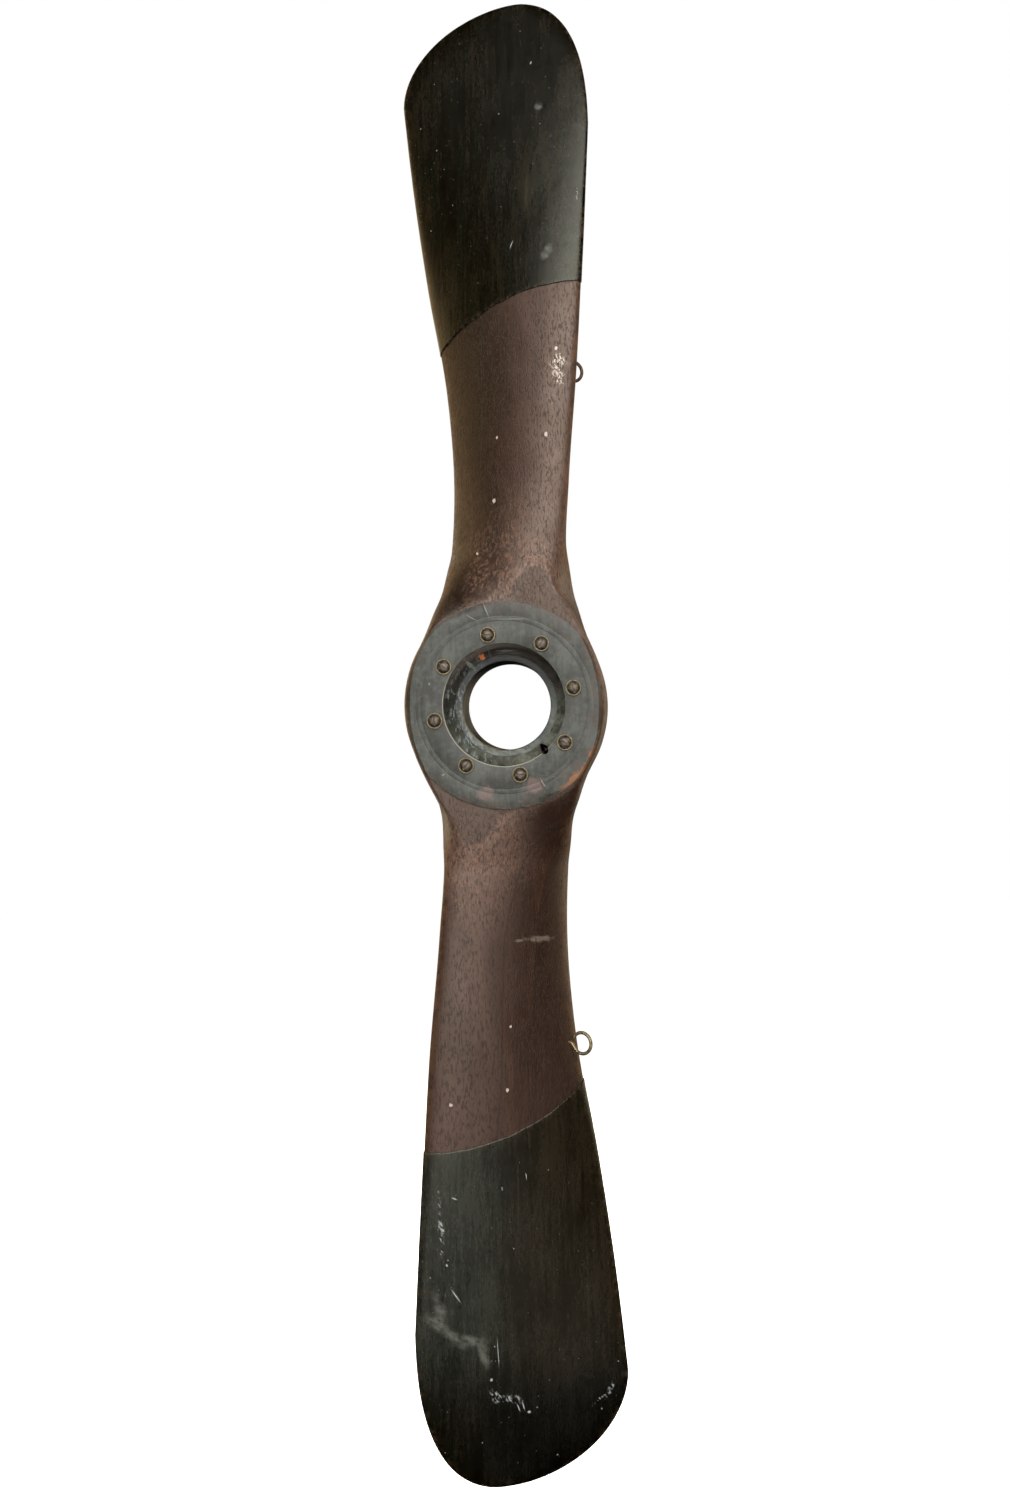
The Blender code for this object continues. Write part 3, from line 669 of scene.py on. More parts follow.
def mahogany():
    """Old varnished mahogany: pores and streaks along the blades, crazed and worn near the hub, dark
    green paint in the bore, painted sheen on the leading halves, painted shade on the upper blade's
    trailing half and in the notch."""
    f = Finish("mahogany_varnish")
    x, y, z = f.split(f.place)
    level = f.math("DIVIDE", f.math("ADD", y, WOOD_HALF), BOARD_THICK)
    board = f.math("FLOOR", level)
    wood = f.join(f.fused(board, 0.37, x), y, f.fused(board, 1.9, z))
    figure = f.grain((1, 1, 0.14), 24, 5, 0.6, place=wood)
    streak = f.grain((1, 0.7, 0.045), 300, 5, 0.62, place=wood)
    pores = f.fade(f.grain((1, 1, 0.3), 430, 3, 0.6, place=wood), 0.5, 0.62)
    mottle = f.noise(42, 6, 0.62)
    near_hub = f.fade(f.apart(z), 0.34, 0.15)

    tone = f.fused(figure, 0.55, f.fused(streak, 0.5, -0.03))
    f.colour = f.ramp(tone, (0.3, (0.006, 0.0024, 0.001)), (0.52, (0.022, 0.0083, 0.0034)),
                      (0.72, (0.06, 0.0235, 0.01)))
    chance = f.node("TexWhiteNoise", {"W": board}, noise_dimensions="1D")["Value"]
    f.coat((0.022, 0.01, 0.006), f.fade(chance, 0.0, 1.0, 0.0, 0.5))
    sideways = f.apart(f.split(f.coordinates["Normal"])[0])
    hub_side = f.product(f.fade(sideways, 0.55, 0.9), f.fade(f.apart(z), 0.15, 0.1))
    paler = f.product(hub_side, f.fade(chance, 0.1, 0.9))
    f.coat((0.085, 0.037, 0.016), paler, 0.65)
    f.coat((0.005, 0.002, 0.0013), pores, 0.65)

    # Mauve-grey varnish haze with painted sheen on the leading half of each blade's front, strongest near
    # the hub
    below_hub = f.fade(f.apart(z, -0.17), 0.12, 0.03)
    leading = f.fused(below_hub, 0.028, f.product(x, f.math("SIGN", z)))
    leading_half = f.fade(leading, -0.025, 0.055)
    near_root_boost = f.fade(f.apart(z), 0.46, 0.14, 0.35, 1.0)
    drift = f.fade(f.grain((1, 1, 0.35), 17, 6, 0.6), 0.34, 0.66, 0.25, 1.0)
    drift = f.most(drift, f.product(below_hub, 0.9))
    haze_and_sheen = f.product(drift, f.fused(f.product(leading_half, near_root_boost), 0.9, 0.08))
    haze_and_sheen = f.product(haze_and_sheen, f.frontal(), f.rest(f.product(pores, 0.7)))
    f.coat((0.16, 0.099, 0.077), haze_and_sheen, 0.65)

    # Crazed varnish near the hub: dark cracks and pale flecks
    cracks = f.cells(f.scaled(f.place, (1, 1, 0.62)), 230, "DISTANCE_TO_EDGE")[0]
    crazing = f.product(f.fade(cracks, 0.1, 0.02), near_hub, f.fade(mottle, 0.42, 0.58))
    f.coat((0.008, 0.004, 0.003), crazing, 0.7)
    flecks = f.fade(f.grain((1, 1, 0.6), 240, 3, 0.6), 0.46, 0.58)
    crazed = f.most(leading_half, f.fade(z, -0.05, 0.05))
    flecks = f.product(flecks, near_hub, f.frontal(), f.fade(mottle, 0.34, 0.54), crazed)
    f.coat((0.24, 0.126, 0.082), flecks, 0.42)

    # Painted shade on the trailing half of the upper blade and on its shoulder by the hub
    trailing_shade = f.product(f.fade(z, 0.1, 0.4), f.fade(x, 0.03, -0.03))
    # Painted shade where the upper blade's shoulder falls away from the hub.
    shoulder = f.product(f.fade(z, 0.06, 0.14), f.fade(x, -0.025, -0.06))
    f.coat((0.006, 0.0035, 0.0015), f.most(trailing_shade, shoulder), 0.85)

    # A dull smear, dents and chips down to pale filler, each where it is on the real blade
    smear = f.patches((0.034, -0.3105, 0.046, 0.011, -4, 0.45, 90),
                      (0.008, -0.3105, 0.018, 0.0045, 0, 0.5, 120))
    f.coat((0.155, 0.115, 0.085), smear, f.frontal(), 0.75)
    dots = f.specks(120, 0.1, 0.012)
    dents = f.patches((-0.0083, 0.2782, 0.0062, 0.0085), (-0.0022, 0.3665, 0.004, 0.005),
                      ragged=0.2, grain=300)
    chips = f.patches(
        (0.0671, 0.3612, 0.006, 0.009), (-0.0334, 0.2066, 0.004, 0.005), (0.0845, 0.479, 0.006, 0.007),
        (-0.0836, -0.5122, 0.006, 0.006), (-0.0122, -0.5001, 0.005, 0.006),
        (-0.006, -0.42, 0.004, 0.005), ragged=0.45, grain=260)
    flaking = f.patches((0.0863, 0.461, 0.026, 0.026, 0), (0.086, 0.441, 0.02, 0.036, 12),
                        ragged=0.3, grain=120)
    flakes = f.fade(f.grain((1, 1, 0.55), 420, 3, 0.6), 0.5, 0.56)
    pale = f.most(f.product(dots, 0.5), dents, chips, f.product(flaking, flakes))
    f.coat((0.48, 0.42, 0.36), pale, f.frontal())

    # Bare wood where the edges are rubbed
    edge = f.written("edge_wear")
    rubbed = f.product(edge, f.fade(f.noise(75, 6, 0.7), 0.4, 0.6))
    f.coat((0.15, 0.066, 0.026), rubbed, 0.8)

    # Glue lines
    depth = f.apart(f.math("FRACT", level), 0.5)
    glue = f.fade(depth, 0.472, 0.49)
    f.coat((0.01, 0.005, 0.003), glue, 0.7)

    # Green-black paint on the walls of the bore, a spot of orange, and painted shade that makes the
    # inside of the notch black
    radius = f.off_axis(x, z)
    in_bore = f.fade(radius, COUNTERBORE_RADIUS + 0.0012, COUNTERBORE_RADIUS + 0.0004)
    paint, _ = bore_paint(f)
    spot = f.patch(-0.0308, 0.0657, 0.009, 0.011, 20, 0.7, 260, 0.5)
    paint = f.over(paint, (0.5, 0.13, 0.028), spot)
    ledge = COUNTERBORE_DEPTH - WOOD_HALF
    notch = f.patch(0.05, -0.0595, 0.026, 0.026, 0, 0.0, 60, 0.2)
    notch = f.product(notch, f.fade(y, ledge + 0.0002, ledge + 0.0006))
    in_bore = f.most(in_bore, notch)
    # Painted shade: near black inside the deep notch.
    paint = f.over(paint, (0.001, 0.001, 0.0008), notch)
    f.coat(paint, in_bore)

    f.set("Base Color", f.colour)
    gloss = f.fused(mottle, 0.22, f.fused(pores, 0.18, 0.3))
    gloss = f.fused(haze_and_sheen, 0.08, f.fused(rubbed, 0.2, gloss))
    lacquer = f.fused(mottle, 0.16, 0.08)
    f.set("Roughness", f.math("ADD", gloss, f.product(in_bore, f.math("SUBTRACT", lacquer, gloss))))
    f.set("Specular IOR Level", 0.65)
    f.set("Specular Tint", (1.0, 0.83, 0.7, 1.0))
    outside = f.rest(in_bore)
    closed = f.rest(pores)
    whole = f.product(f.rest(crazing), outside)
    f.relief((f.product(mottle, outside), 0.0016, 0.35), (f.product(streak, outside), 0.00035, 0.4),
             (f.product(closed, outside), 0.0002, 0.5), (whole, 0.0004, 0.5))
    return f.material


def tip_paint():
    """Black-green dope over fabric: brush streaks, weave, brown and green drifts, white scuffs, with
    painted sheen and painted shade on the lower tip.
    """
    f = Finish("tip_dope_paint")
    x, _, z = f.split(f.place)
    brush = f.grain((1, 1, 0.05), 150, 6, 0.68)
    green = f.grain((1, 1, 0.12), 62, 6, 0.65, shift=(2.0, 0.0, 1.0))
    cloud = f.grain((1, 1, 0.5), 16, 6, 0.6)
    fine = f.grain((1, 1, 0.3), 420, 4, 0.65)
    tone = f.fused(fine, 0.28, f.product(brush, 0.4))
    tone = f.fused(cloud, 0.32, tone)
    f.colour = f.ramp(tone, (0.4, (0.0008, 0.0005, 0.0001)), (0.5, (0.003, 0.002, 0.0005)),
                      (0.58, (0.009, 0.0062, 0.0021)), (0.66, (0.024, 0.018, 0.009)))
    f.coat((0.0028, 0.0036, 0.0012), f.fade(green, 0.46, 0.6, 0.0, 0.65))
    hatch = f.grain((0.35, 1, 1), 240, 5, 0.7)
    f.coat((0.014, 0.014, 0.009), f.fade(hatch, 0.54, 0.7, 0.0, 0.5))

    # The lower tip is dustier: green-grey on the left, partly painted sheen, brown on the right, and
    # painted shade that makes its very end black
    dust_and_sheen = f.product(f.fade(z, -0.92, -0.8), f.fade(z, 0.0, -0.3), f.fade(tone, 0.4, 0.58, 0.35, 1.0))
    dust_and_sheen_tint = f.over((0.032, 0.036, 0.028), (0.022, 0.016, 0.009), f.fade(x, -0.07, 0.02))
    f.coat(dust_and_sheen_tint, dust_and_sheen, 0.65)
    # Painted shade: the very end of the lower tip painted near black.
    shaded_end = f.product(f.fade(z, -0.83, -0.92), f.fade(x, -0.09, -0.03))
    f.coat((0.0006, 0.0005, 0.0002), shaded_end, 0.75)

    # Rubbed edges show brown under the paint
    edge = f.written("edge_wear")
    rubbed = f.product(edge, f.fade(f.noise(90, 6, 0.7), 0.46, 0.62))
    f.coat((0.085, 0.055, 0.03), rubbed, 0.6)
    hem = f.written("fabric_hem")
    worn_hem = f.product(hem, f.fade(f.noise(160, 5, 0.7), 0.44, 0.6))
    f.coat((0.11, 0.08, 0.055), worn_hem, 0.45)

    # A smoky smear, scraped white patches, strokes and specks, mostly on the lower tip
    smoke = f.patches(
        (-0.1108, -0.7826, 0.058, 0.022, -31), (-0.1044, -0.772, 0.022, 0.06, 15),
        (-0.0915, -0.8, 0.066, 0.022, -50), (-0.0712, -0.8106, 0.066, 0.021, -4),
        (-0.0547, -0.824, 0.021, 0.06, 23), (0.076, 0.618, 0.016, 0.04, -35),
        (0.07, 0.835, 0.018, 0.018, 0), ragged=0.45, grain=55, soft=0.9)
    wisps = f.noise(120, 6, 0.68, place=f.slanted(f.place, -38, (0.45, 1, 1)))
    smoke = f.product(smoke, f.fade(wisps, 0.34, 0.62, 0.15, 1.0))
    scrape = f.fade(f.noise(330, 6, 0.7, place=f.slanted(f.place, 35, (1, 1, 0.28))), 0.5, 0.6)
    scuffs = f.patches(
        (-0.039, -0.883, 0.016, 0.026, 38, 0.35, 90), (-0.018, -0.889, 0.034, 0.014, -22, 0.4, 80),
        (0.108, -0.893, 0.008, 0.03, -28, 0.5, 80), (0.09, -0.906, 0.026, 0.004, 24, 0.5, 80),
        (-0.101, -0.67, 0.007, 0.1, 2, 0.7, 80), (0.1195, 0.7, 0.004, 0.03, 2, 0.6, 80))
    scuffs = f.product(scuffs, scrape)
    stroke = f.patch(-0.085, -0.752, 0.0022, 0.028, 33, 0.1, 200, 0.8)
    lines = f.patches(
        (-0.011, -0.901, 0.0018, 0.014, 20), (-0.005, -0.899, 0.0018, 0.016, 14),
        (-0.044, -0.862, 0.0044, 0.005, 0), (0.002, -0.908, 0.006, 0.004, -10),
        (-0.095, -0.713, 0.003, 0.005, 20), (-0.083, -0.63, 0.0022, 0.01, 62),
        (-0.03, -0.556, 0.003, 0.009, 10), (0.061, 0.902, 0.0022, 0.007, -30),
        (0.026, 0.637, 0.0016, 0.016, -22), (-0.0345, -0.83, 0.0012, 0.046, 2),
        (0.008, -0.613, 0.0014, 0.012, 4), ragged=0.15, grain=200, soft=0.8)
    peppered = f.patches((-0.04, -0.801, 0.03, 0.07), (-0.102, -0.708, 0.06, 0.1, 10), ragged=0.3)
    dots = f.most(f.product(f.specks(85, 0.1, 0.1), 0.55), f.product(f.specks(210, 0.16, 0.05), 0.3),
                  f.product(f.specks(150, 0.15, 0.3), peppered, 0.8))
    white = f.most(f.product(scuffs, 0.8), stroke, lines, dots)
    f.coat((0.17, 0.175, 0.145), smoke, f.frontal(), 0.6)
    f.coat((0.42, 0.45, 0.44), white, f.frontal())
    f.set("Base Color", f.colour)

    gloss = f.fused(cloud, 0.2, f.fused(fine, 0.14, 0.03))
    f.set("Roughness", f.fused(brush, 0.12, gloss))
    f.set("Specular IOR Level", 0.4)
    f.set("Specular Tint", (1.0, 1.0, 0.84, 1.0))
    threads = f.product(f.math("SINE", f.product(x, 7600.0)), f.math("SINE", f.product(z, 7600.0)))
    f.relief((cloud, 0.0018, 0.45), (green, 0.0006, 0.4), (brush, 0.0005, 0.45), (fine, 0.00013, 0.5),
             (threads, 0.00006, 0.3), (scuffs, 0.0002, 0.3))
    return f.material


def hub_paint():
    """Aged grey-green paint on the hub plates: blotches, brush marks, ring marks, worn edges and a
    painted edge highlight at the hole.
    """
    f = Finish("hub_plate_paint")
    x, y, z = f.split(f.place)
    cloud = f.noise(21, 7, 0.66)
    fine = f.noise(170, 5, 0.68)
    brush = f.grain((1, 1, 0.12), 150, 5, 0.65)
    tone = f.fused(fine, 0.2, f.product(brush, 0.25))
    tone = f.fused(cloud, 0.55, tone)
    f.colour = f.ramp(tone, (0.43, (0.02, 0.021, 0.015)), (0.5, (0.038, 0.042, 0.033)),
                      (0.57, (0.065, 0.069, 0.057)))
    stain = f.fade(f.grain((1, 1, 1), 30, 6, 0.66, shift=(3.0, 1.0, 2.0)), 0.52, 0.66)
    f.coat((0.034, 0.027, 0.017), stain, 0.6)

    # Marks that a round flange left in the paint
    radius = f.off_axis(x, z)
    for ring, width, shade, amount in ((0.111, 0.0007, (0.026, 0.028, 0.022), 0.55),
                                       (0.1176, 0.0007, (0.11, 0.12, 0.1), 0.35)):
        near = f.apart(radius, ring)
        line = f.product(f.fade(near, width * 1.8, width * 0.5), f.fade(cloud, 0.42, 0.55), amount)
        f.coat(shade, line)

    # Paint worn through towards the rim, to pink primer and to bare wood at the right-hand side, and a
    # pale line on the lower-left edge of the hole that is worn paint and painted edge highlight
    outward = f.fused(x, 0.12, radius)
    thin = f.product(f.fade(outward, 0.112, 0.142), f.fade(f.noise(48, 7, 0.7), 0.44, 0.62))
    f.coat((0.06, 0.036, 0.023), thin, 0.75)
    front = f.fade(y, 0.02, -0.02)
    pink = f.patches((-0.03, -0.115, 0.03, 0.025, 0, 0.9, 50),
                     (0.037, -0.107, 0.034, 0.02, 12, 1.0, 50))
    f.coat((0.15, 0.098, 0.08), pink, front, 0.6)
    rimward = f.fused(f.noise(65, 6, 0.7), 0.026, radius)
    bare = f.product(f.fade(rimward, 0.1425, 0.1465), f.fade(x, 0.06, 0.09),
                     f.fade(z, 0.045, 0.005, 0.0, 0.9))
    f.coat((0.26, 0.115, 0.045), bare, 0.85)
    rim = f.fade(radius, PLATE_RADIUS - 0.003, PLATE_RADIUS - 0.0005)
    low_left = f.fade(f.fused(x, -0.6, f.product(z, -0.8)), -0.005, 0.04)
    # Worn paint and a painted edge highlight along the hole's lower-left edge.
    inner = f.fade(radius, COUNTERBORE_RADIUS + 0.0016, COUNTERBORE_RADIUS + 0.0006)
    inner = f.product(inner, low_left, front)
    ragged = f.fade(f.noise(95, 6, 0.7), 0.42, 0.58)
    f.coat((0.085, 0.06, 0.042), rim, ragged, 0.5)
    f.coat((0.3, 0.28, 0.21), inner, 0.75)

    # Scratches, and pale edges along the cracks
    scratch = f.grain((0.25, 1, 1.6), 210, 4, 0.7, 1.2)
    f.coat((0.16, 0.17, 0.15), f.fade(scratch, 0.62, 0.7, 0.0, 0.35))
    dark = f.patches((-0.0232, 0.1262, 0.0024, 0.028, 21), (0.0465, -0.1054, 0.002, 0.019, 29),
                     ragged=0.15, grain=150, soft=0.7)
    f.coat((0.006, 0.006, 0.005), dark, f.frontal(), 0.9)
    pale = f.patches(
        (-0.0205, 0.1262, 0.0022, 0.026, 21, 0.25), (0.013, 0.1126, 0.06, 0.0014, -2, 0.35),
        (0.0488, -0.1045, 0.0018, 0.018, 29, 0.35), (-0.0985, 0.03, 0.0035, 0.005, 0, 0.35),
        (-0.04, 0.116, 0.026, 0.0016, -30, 0.35), (-0.083, -0.09, 0.006, 0.0025, 20, 0.35),
        grain=150, soft=0.7)
    f.coat((0.23, 0.24, 0.21), pale, f.frontal(), 0.6)
    f.set("Base Color", f.colour)

    f.set("Roughness", f.fused(cloud, 0.3, f.fused(fine, 0.12, 0.28)))
    f.set("Specular IOR Level", 0.4)
    f.relief((cloud, 0.0016, 0.45), (brush, 0.0004, 0.4), (fine, 0.0004, 0.5), (ragged, 0.0002, 0.2))
    return f.material


def sleeve_paint():
    """The bore's paint on its sleeve, with brown metal inside that shows only on the lit lower left, as
    painted light.
    """
    f = Finish("sleeve_dark_paint")
    x, _, z = f.split(f.place)
    paint, scratches = bore_paint(f)
    cloud = f.noise(60, 6, 0.65)
    radius = f.off_axis(x, z)
    inside = f.fade(radius, BORE_RADIUS + 0.0014, BORE_RADIUS + 0.0006)
    # Brown metal shown only on the lit lower left of the inside: painted light.
    lit = f.fade(f.fused(x, -0.5, f.product(z, -0.85)), -0.03, 0.03)
    brown = f.ramp(cloud, (0.38, (0.008, 0.006, 0.003)), (0.52, (0.036, 0.026, 0.012)),
                   (0.68, (0.11, 0.077, 0.036)))
    f.set("Base Color", f.over(paint, brown, inside, lit, 0.9))
    f.set("Roughness", f.fade(cloud, 0.3, 0.7, 0.3, 0.55))
    f.relief((cloud, 0.0008, 0.4), (scratches, 0.0003, 0.5))
    return f.material


def old_metal(name, dark, mid, bright, metallic, top):
    """Browned or tarnished metal, brighter where a raised part is rubbed above that height."""
    f = Finish(name)
    z = f.split(f.place)[2]
    own = f.node("ObjectInfo")["Random"]
    shifted = f.node("VectorMath", {0: f.place, 1: f.join(own, own, own)}, operation="ADD")[0]
    cloud = f.noise(260, 6, 0.65, place=shifted)
    fine = f.noise(1500, 4, 0.6, place=shifted)
    f.colour = f.ramp(cloud, (0.34, dark), (0.54, mid), (0.74, bright))
    rubbed = f.product(f.fade(z, top - 0.0012, top), f.fade(fine, 0.35, 0.6))
    f.coat(bright, rubbed, 0.5)
    f.set("Base Color", f.colour)
    f.set("Metallic", metallic)
    f.set("Roughness", f.fade(cloud, 0.3, 0.7, 0.34, 0.62))
    f.relief((cloud, 0.0002, 0.5), (fine, 0.00006, 0.4))
    return f.material


# ---- The pieces ----
def edge_wear(mesh):
    """Write how close each point is to the blade's edges or the hub's sides, from 0 to 1."""
    values = []
    for vertex in mesh.vertices:
        x, y, z = vertex.co
        radius = abs(z)
        leading, trailing = edges(radius)
        along = x if z >= 0 else -x
        inside = max(min(leading - along, along + trailing), 0.0)
        tip = max(BLADE_TIP - radius, 0.0)
        side = 1 - ease(*HUB_SIDE_SPAN, radius)
        corner = 0.1 + 0.9 * math.exp(-max(WOOD_HALF - abs(y), 0.0) / CORNER_WEAR)
        values.append(math.exp(-min(inside, tip) / EDGE_WEAR) * (1 - side + side * corner))
    layer = mesh.attributes.new("edge_wear", "FLOAT", "POINT")
    layer.data.foreach_set("value", values)


def boards(finish):
    """The five boards, sawn out of one finely carved and drilled block."""
    block = add("carved_block", carved_blank())
    carve(block, wood_cutter())
    carve(block, notch_cutter())
    for index in range(BOARDS):
        number = index + 1
        bm = bmesh.new()
        bm.from_mesh(block.data)
        near = -WOOD_HALF + index * BOARD_THICK + GLUE_LINE / 2
        far = -WOOD_HALF + number * BOARD_THICK - GLUE_LINE / 2
        cuts = [(near, -1.0)] if index else []
        cuts += [(far, 1.0)] if number < BOARDS else []
        for place, way in cuts:
            everything = [*bm.verts, *bm.edges, *bm.faces]
            cut = bmesh.ops.bisect_plane(
                bm, geom=everything, dist=1e-7, plane_co=(0, place, 0), plane_no=(0, way, 0),
                clear_outer=True,
            )
            edges = [e for e in cut["geom_cut"] if isinstance(e, bmesh.types.BMEdge)]
            edges = [e for e in edges if e.is_valid and len(e.link_faces) < 2]
            bmesh.ops.triangle_fill(bm, use_beauty=True, edges=edges, normal=(0, way, 0))
            for edge in edges:
                edge.smooth = False
        bmesh.ops.recalc_face_normals(bm, faces=bm.faces)
        mesh = mesh_from(bm, f"board_{number}_carved")
        edge_wear(mesh)
        made = add(f"board_{number}_carved", mesh, finish)
        place_piece(made, "mahogany", f"lamination_{number}")
    bpy.data.objects.remove(block)


def hub_plate(name, side, node, trim, finish):
    """A thin painted plate on one face of the hub. Side -1 is the front, which has the wider hole."""
    inner = COUNTERBORE_RADIUS if side < 0 else BORE_RADIUS
    thick = PLATE_FACE + PLATE_NEAR
    round_off = 0.0005
    profile = [(inner, 0.0), (PLATE_RADIUS, 0.0), (PLATE_RADIUS, thick - round_off),
               (PLATE_RADIUS - 0.3 * round_off, thick - 0.3 * round_off),
               (PLATE_RADIUS - round_off, thick)]
    for ring in RING_MARKS:
        profile += [(ring + 0.0006, thick), (ring, thick - 0.0002), (ring - 0.0006, thick)]
    profile += [(inner + round_off, thick), (inner + 0.3 * round_off, thick - 0.3 * round_off),
                (inner, thick - round_off)]
    bm = lathe(profile, BORE_SEGMENTS, True)
    bm.transform(Matrix.Translation((0, side * -PLATE_NEAR, 0)) @ facing(side))
    made = add(name, flat_mesh(bm, name))
    carve(made, trim.copy(), "INTERSECT")
    cut = bmesh.new()
    for x, z in bolt_places():
        rod(cut, (x, -0.1, z), (x, 0.1, z), BOLT_HOLE, FASTENER_SEGMENTS)
    for x, z, size, lean in PLATE_CRACKS if side < 0 else ():
        box(cut, (x, -PLATE_FACE, z), size, math.radians(lean))
    carve(made, flat_mesh(cut, "plate_cutter"))
    if side < 0:
        carve(made, notch_cutter())
    made.data = smoothed(made.data, name)
    made.data.materials.append(finish)
    place_piece(made, "hub_paint", node)


def bore_sleeve(finish):
    """The sleeve in the narrow part of the bore, with softened ends."""
    long = SLEEVE_BACK - SLEEVE_FRONT
    angles = [math.pi / 2 * k / 5 for k in range(6)]
    corners = [(SLEEVE_BEVEL * (1 - math.sin(a)), SLEEVE_BEVEL * (1 - math.cos(a))) for a in angles]
    profile = [(SLEEVE_RADIUS, 0.0), (SLEEVE_RADIUS, long)]
    profile += [(BORE_RADIUS + dx, long - dz) for dx, dz in reversed(corners)]
    profile += [(BORE_RADIUS, 0.0)]
    bm = lathe(profile, BORE_SEGMENTS, True)
    bm.transform(Matrix.Translation((0, SLEEVE_BACK, 0)) @ facing(-1))
    made = add("bore_sleeve_lining", mesh_from(bm, "bore_sleeve_lining"), finish)
    place_piece(made, "sleeve_paint", "bore_sleeve")


def trimmed(bm, cutter, name, operation="DIFFERENCE"):
    """A mesh from a bmesh, after one cut or trim by another bmesh."""
    shape = add("uncut", mesh_from(bm, "uncut"))
    carve(shape, flat_mesh(cutter, "trimmer"), operation)
    mesh = smoothed(shape.data, name)
    bpy.data.objects.remove(shape)
    return mesh


def bolt_shape():
    """A round-head bolt with a slot and a threaded end, its head up and its seat at zero."""
    end = -2 * PLATE_FACE - WASHER_THICK - NUT_THICK - BOLT_OVERHANG
    crown = [math.pi / 2 * k / 12 for k in range(13)]
    profile = [(HEAD_RADIUS * math.sin(a), HEAD_EDGE + HEAD_CROWN * math.cos(a)) for a in crown]
    profile += [(HEAD_RADIUS, HEAD_SEAT + SOFT_RIM), (HEAD_RADIUS - SOFT_RIM, HEAD_SEAT),
                (BOLT_RADIUS, HEAD_SEAT)]
    top = end + 0.0012 + THREAD_PITCH * THREAD_TURNS
    profile.append((BOLT_RADIUS, top))
    for k in range(THREAD_TURNS):
        profile.append((BOLT_RADIUS - THREAD_DEPTH, top - THREAD_PITCH * (k + 0.5)))
        profile.append((BOLT_RADIUS - 0.0001, top - THREAD_PITCH * (k + 0.92)))
    profile += [(BOLT_RADIUS - 0.0012, end), (0, end)]
    slot = bmesh.new()
    box(slot, (0, 0, SLOT_FLOOR + 0.005), (0.04, SLOT_WIDTH, 0.01))
    return trimmed(lathe(profile, FASTENER_SEGMENTS, False), slot, "hub_bolt")


def nut_shape():
    """A hexagon nut with chamfered corners and a plain hole, its seat at zero."""
    inner = BOLT_RADIUS + SEAT_GAP
    mouth = 0.0006
    chamfer = 0.0010
    face = 0.97 * NUT_RADIUS * math.cos(math.pi / 6)
    profile = [(inner + mouth, 0.0), (face, 0.0), (NUT_RADIUS, chamfer),
               (NUT_RADIUS, NUT_THICK - chamfer), (face, NUT_THICK), (inner + mouth, NUT_THICK),
               (inner, NUT_THICK - mouth), (inner, mouth)]
    hexagon = bmesh.new()
    rod(hexagon, (0, 0, -0.01), (0, 0, 0.02), NUT_RADIUS * 0.999, 6)
    return trimmed(lathe(profile, FASTENER_SEGMENTS, True), hexagon, "hub_nut", "INTERSECT")


def cup_shape():
    """A pressed cup washer with a rolled rim round the bolt's head."""
    lip = [math.radians(-20 + 220 * k / 10) for k in range(11)]
    profile = [(BOLT_HOLE, SEAT_GAP), (CUP_RADIUS - 0.0002, SEAT_GAP), (CUP_RADIUS, 0.0006)]
    profile += [(0.0097 + CUP_LIP * math.cos(a), 0.0029 + CUP_LIP * math.sin(a)) for a in lip]
    profile += [(0.0089, 0.0020), (0.0088, CUP_FLOOR), (BOLT_HOLE, CUP_FLOOR)]
    return mesh_from(lathe(profile, FASTENER_SEGMENTS, True), "cup_washer")


def washer_shape():
    """A flat washer with softened rims."""
    low, high = SEAT_GAP, SEAT_GAP + WASHER_THICK
    side = WASHER_RADIUS - SOFT_RIM
    profile = [(BOLT_HOLE, low), (side, low), (WASHER_RADIUS, low + SOFT_RIM),
               (WASHER_RADIUS, high - SOFT_RIM), (side, high), (BOLT_HOLE, high)]
    return mesh_from(lathe(profile, FASTENER_SEGMENTS, True), "rear_washer")


def fasteners(steel, brass):
    """Bolt, cup washer, rear washer and nut at each of the eight places."""
    bolt, cup, washer, nut = bolt_shape(), cup_shape(), washer_shape(), nut_shape()
    lift = Matrix.Translation((0, 0, WASHER_THICK + 2 * SEAT_GAP))
    for k, (x, z) in enumerate(bolt_places()):
        number = k + 1
        front = Matrix.Translation((x, -PLATE_FACE, z)) @ facing(-1)
        back = Matrix.Translation((x, PLATE_FACE, z)) @ facing(1)
        bolt_way = front @ Matrix.Rotation(BOLT_SPIN * k, 4, "Z")
        nut_way = back @ lift @ Matrix.Rotation(NUT_SPIN * k, 4, "Z")
        for name, shape, finish, way, slot, node in (
                (f"bolt_{number}_slotted", bolt, steel, bolt_way, "old_steel", "hub_bolt"),
                (f"cup_{number}_pressed", cup, brass, front, "old_brass", "cup_washer"),
                (f"washer_{number}_flat", washer, steel, back, "old_steel", "rear_washer"),
                (f"nut_{number}_hexagon", nut, steel, nut_way, "old_steel", "hub_nut")):
            made = add(name, shape, finish)
            made.matrix_world = way
            place_piece(made, slot, f"{node}_{number}")


def fabric_edge(angle):
    """The radius where the tip fabric starts: further in at the trailing edge."""
    back = (1 - math.cos(angle)) / 2
    return FABRIC_END_LEADING - (FABRIC_END_LEADING - FABRIC_END_TRAILING) * back**2


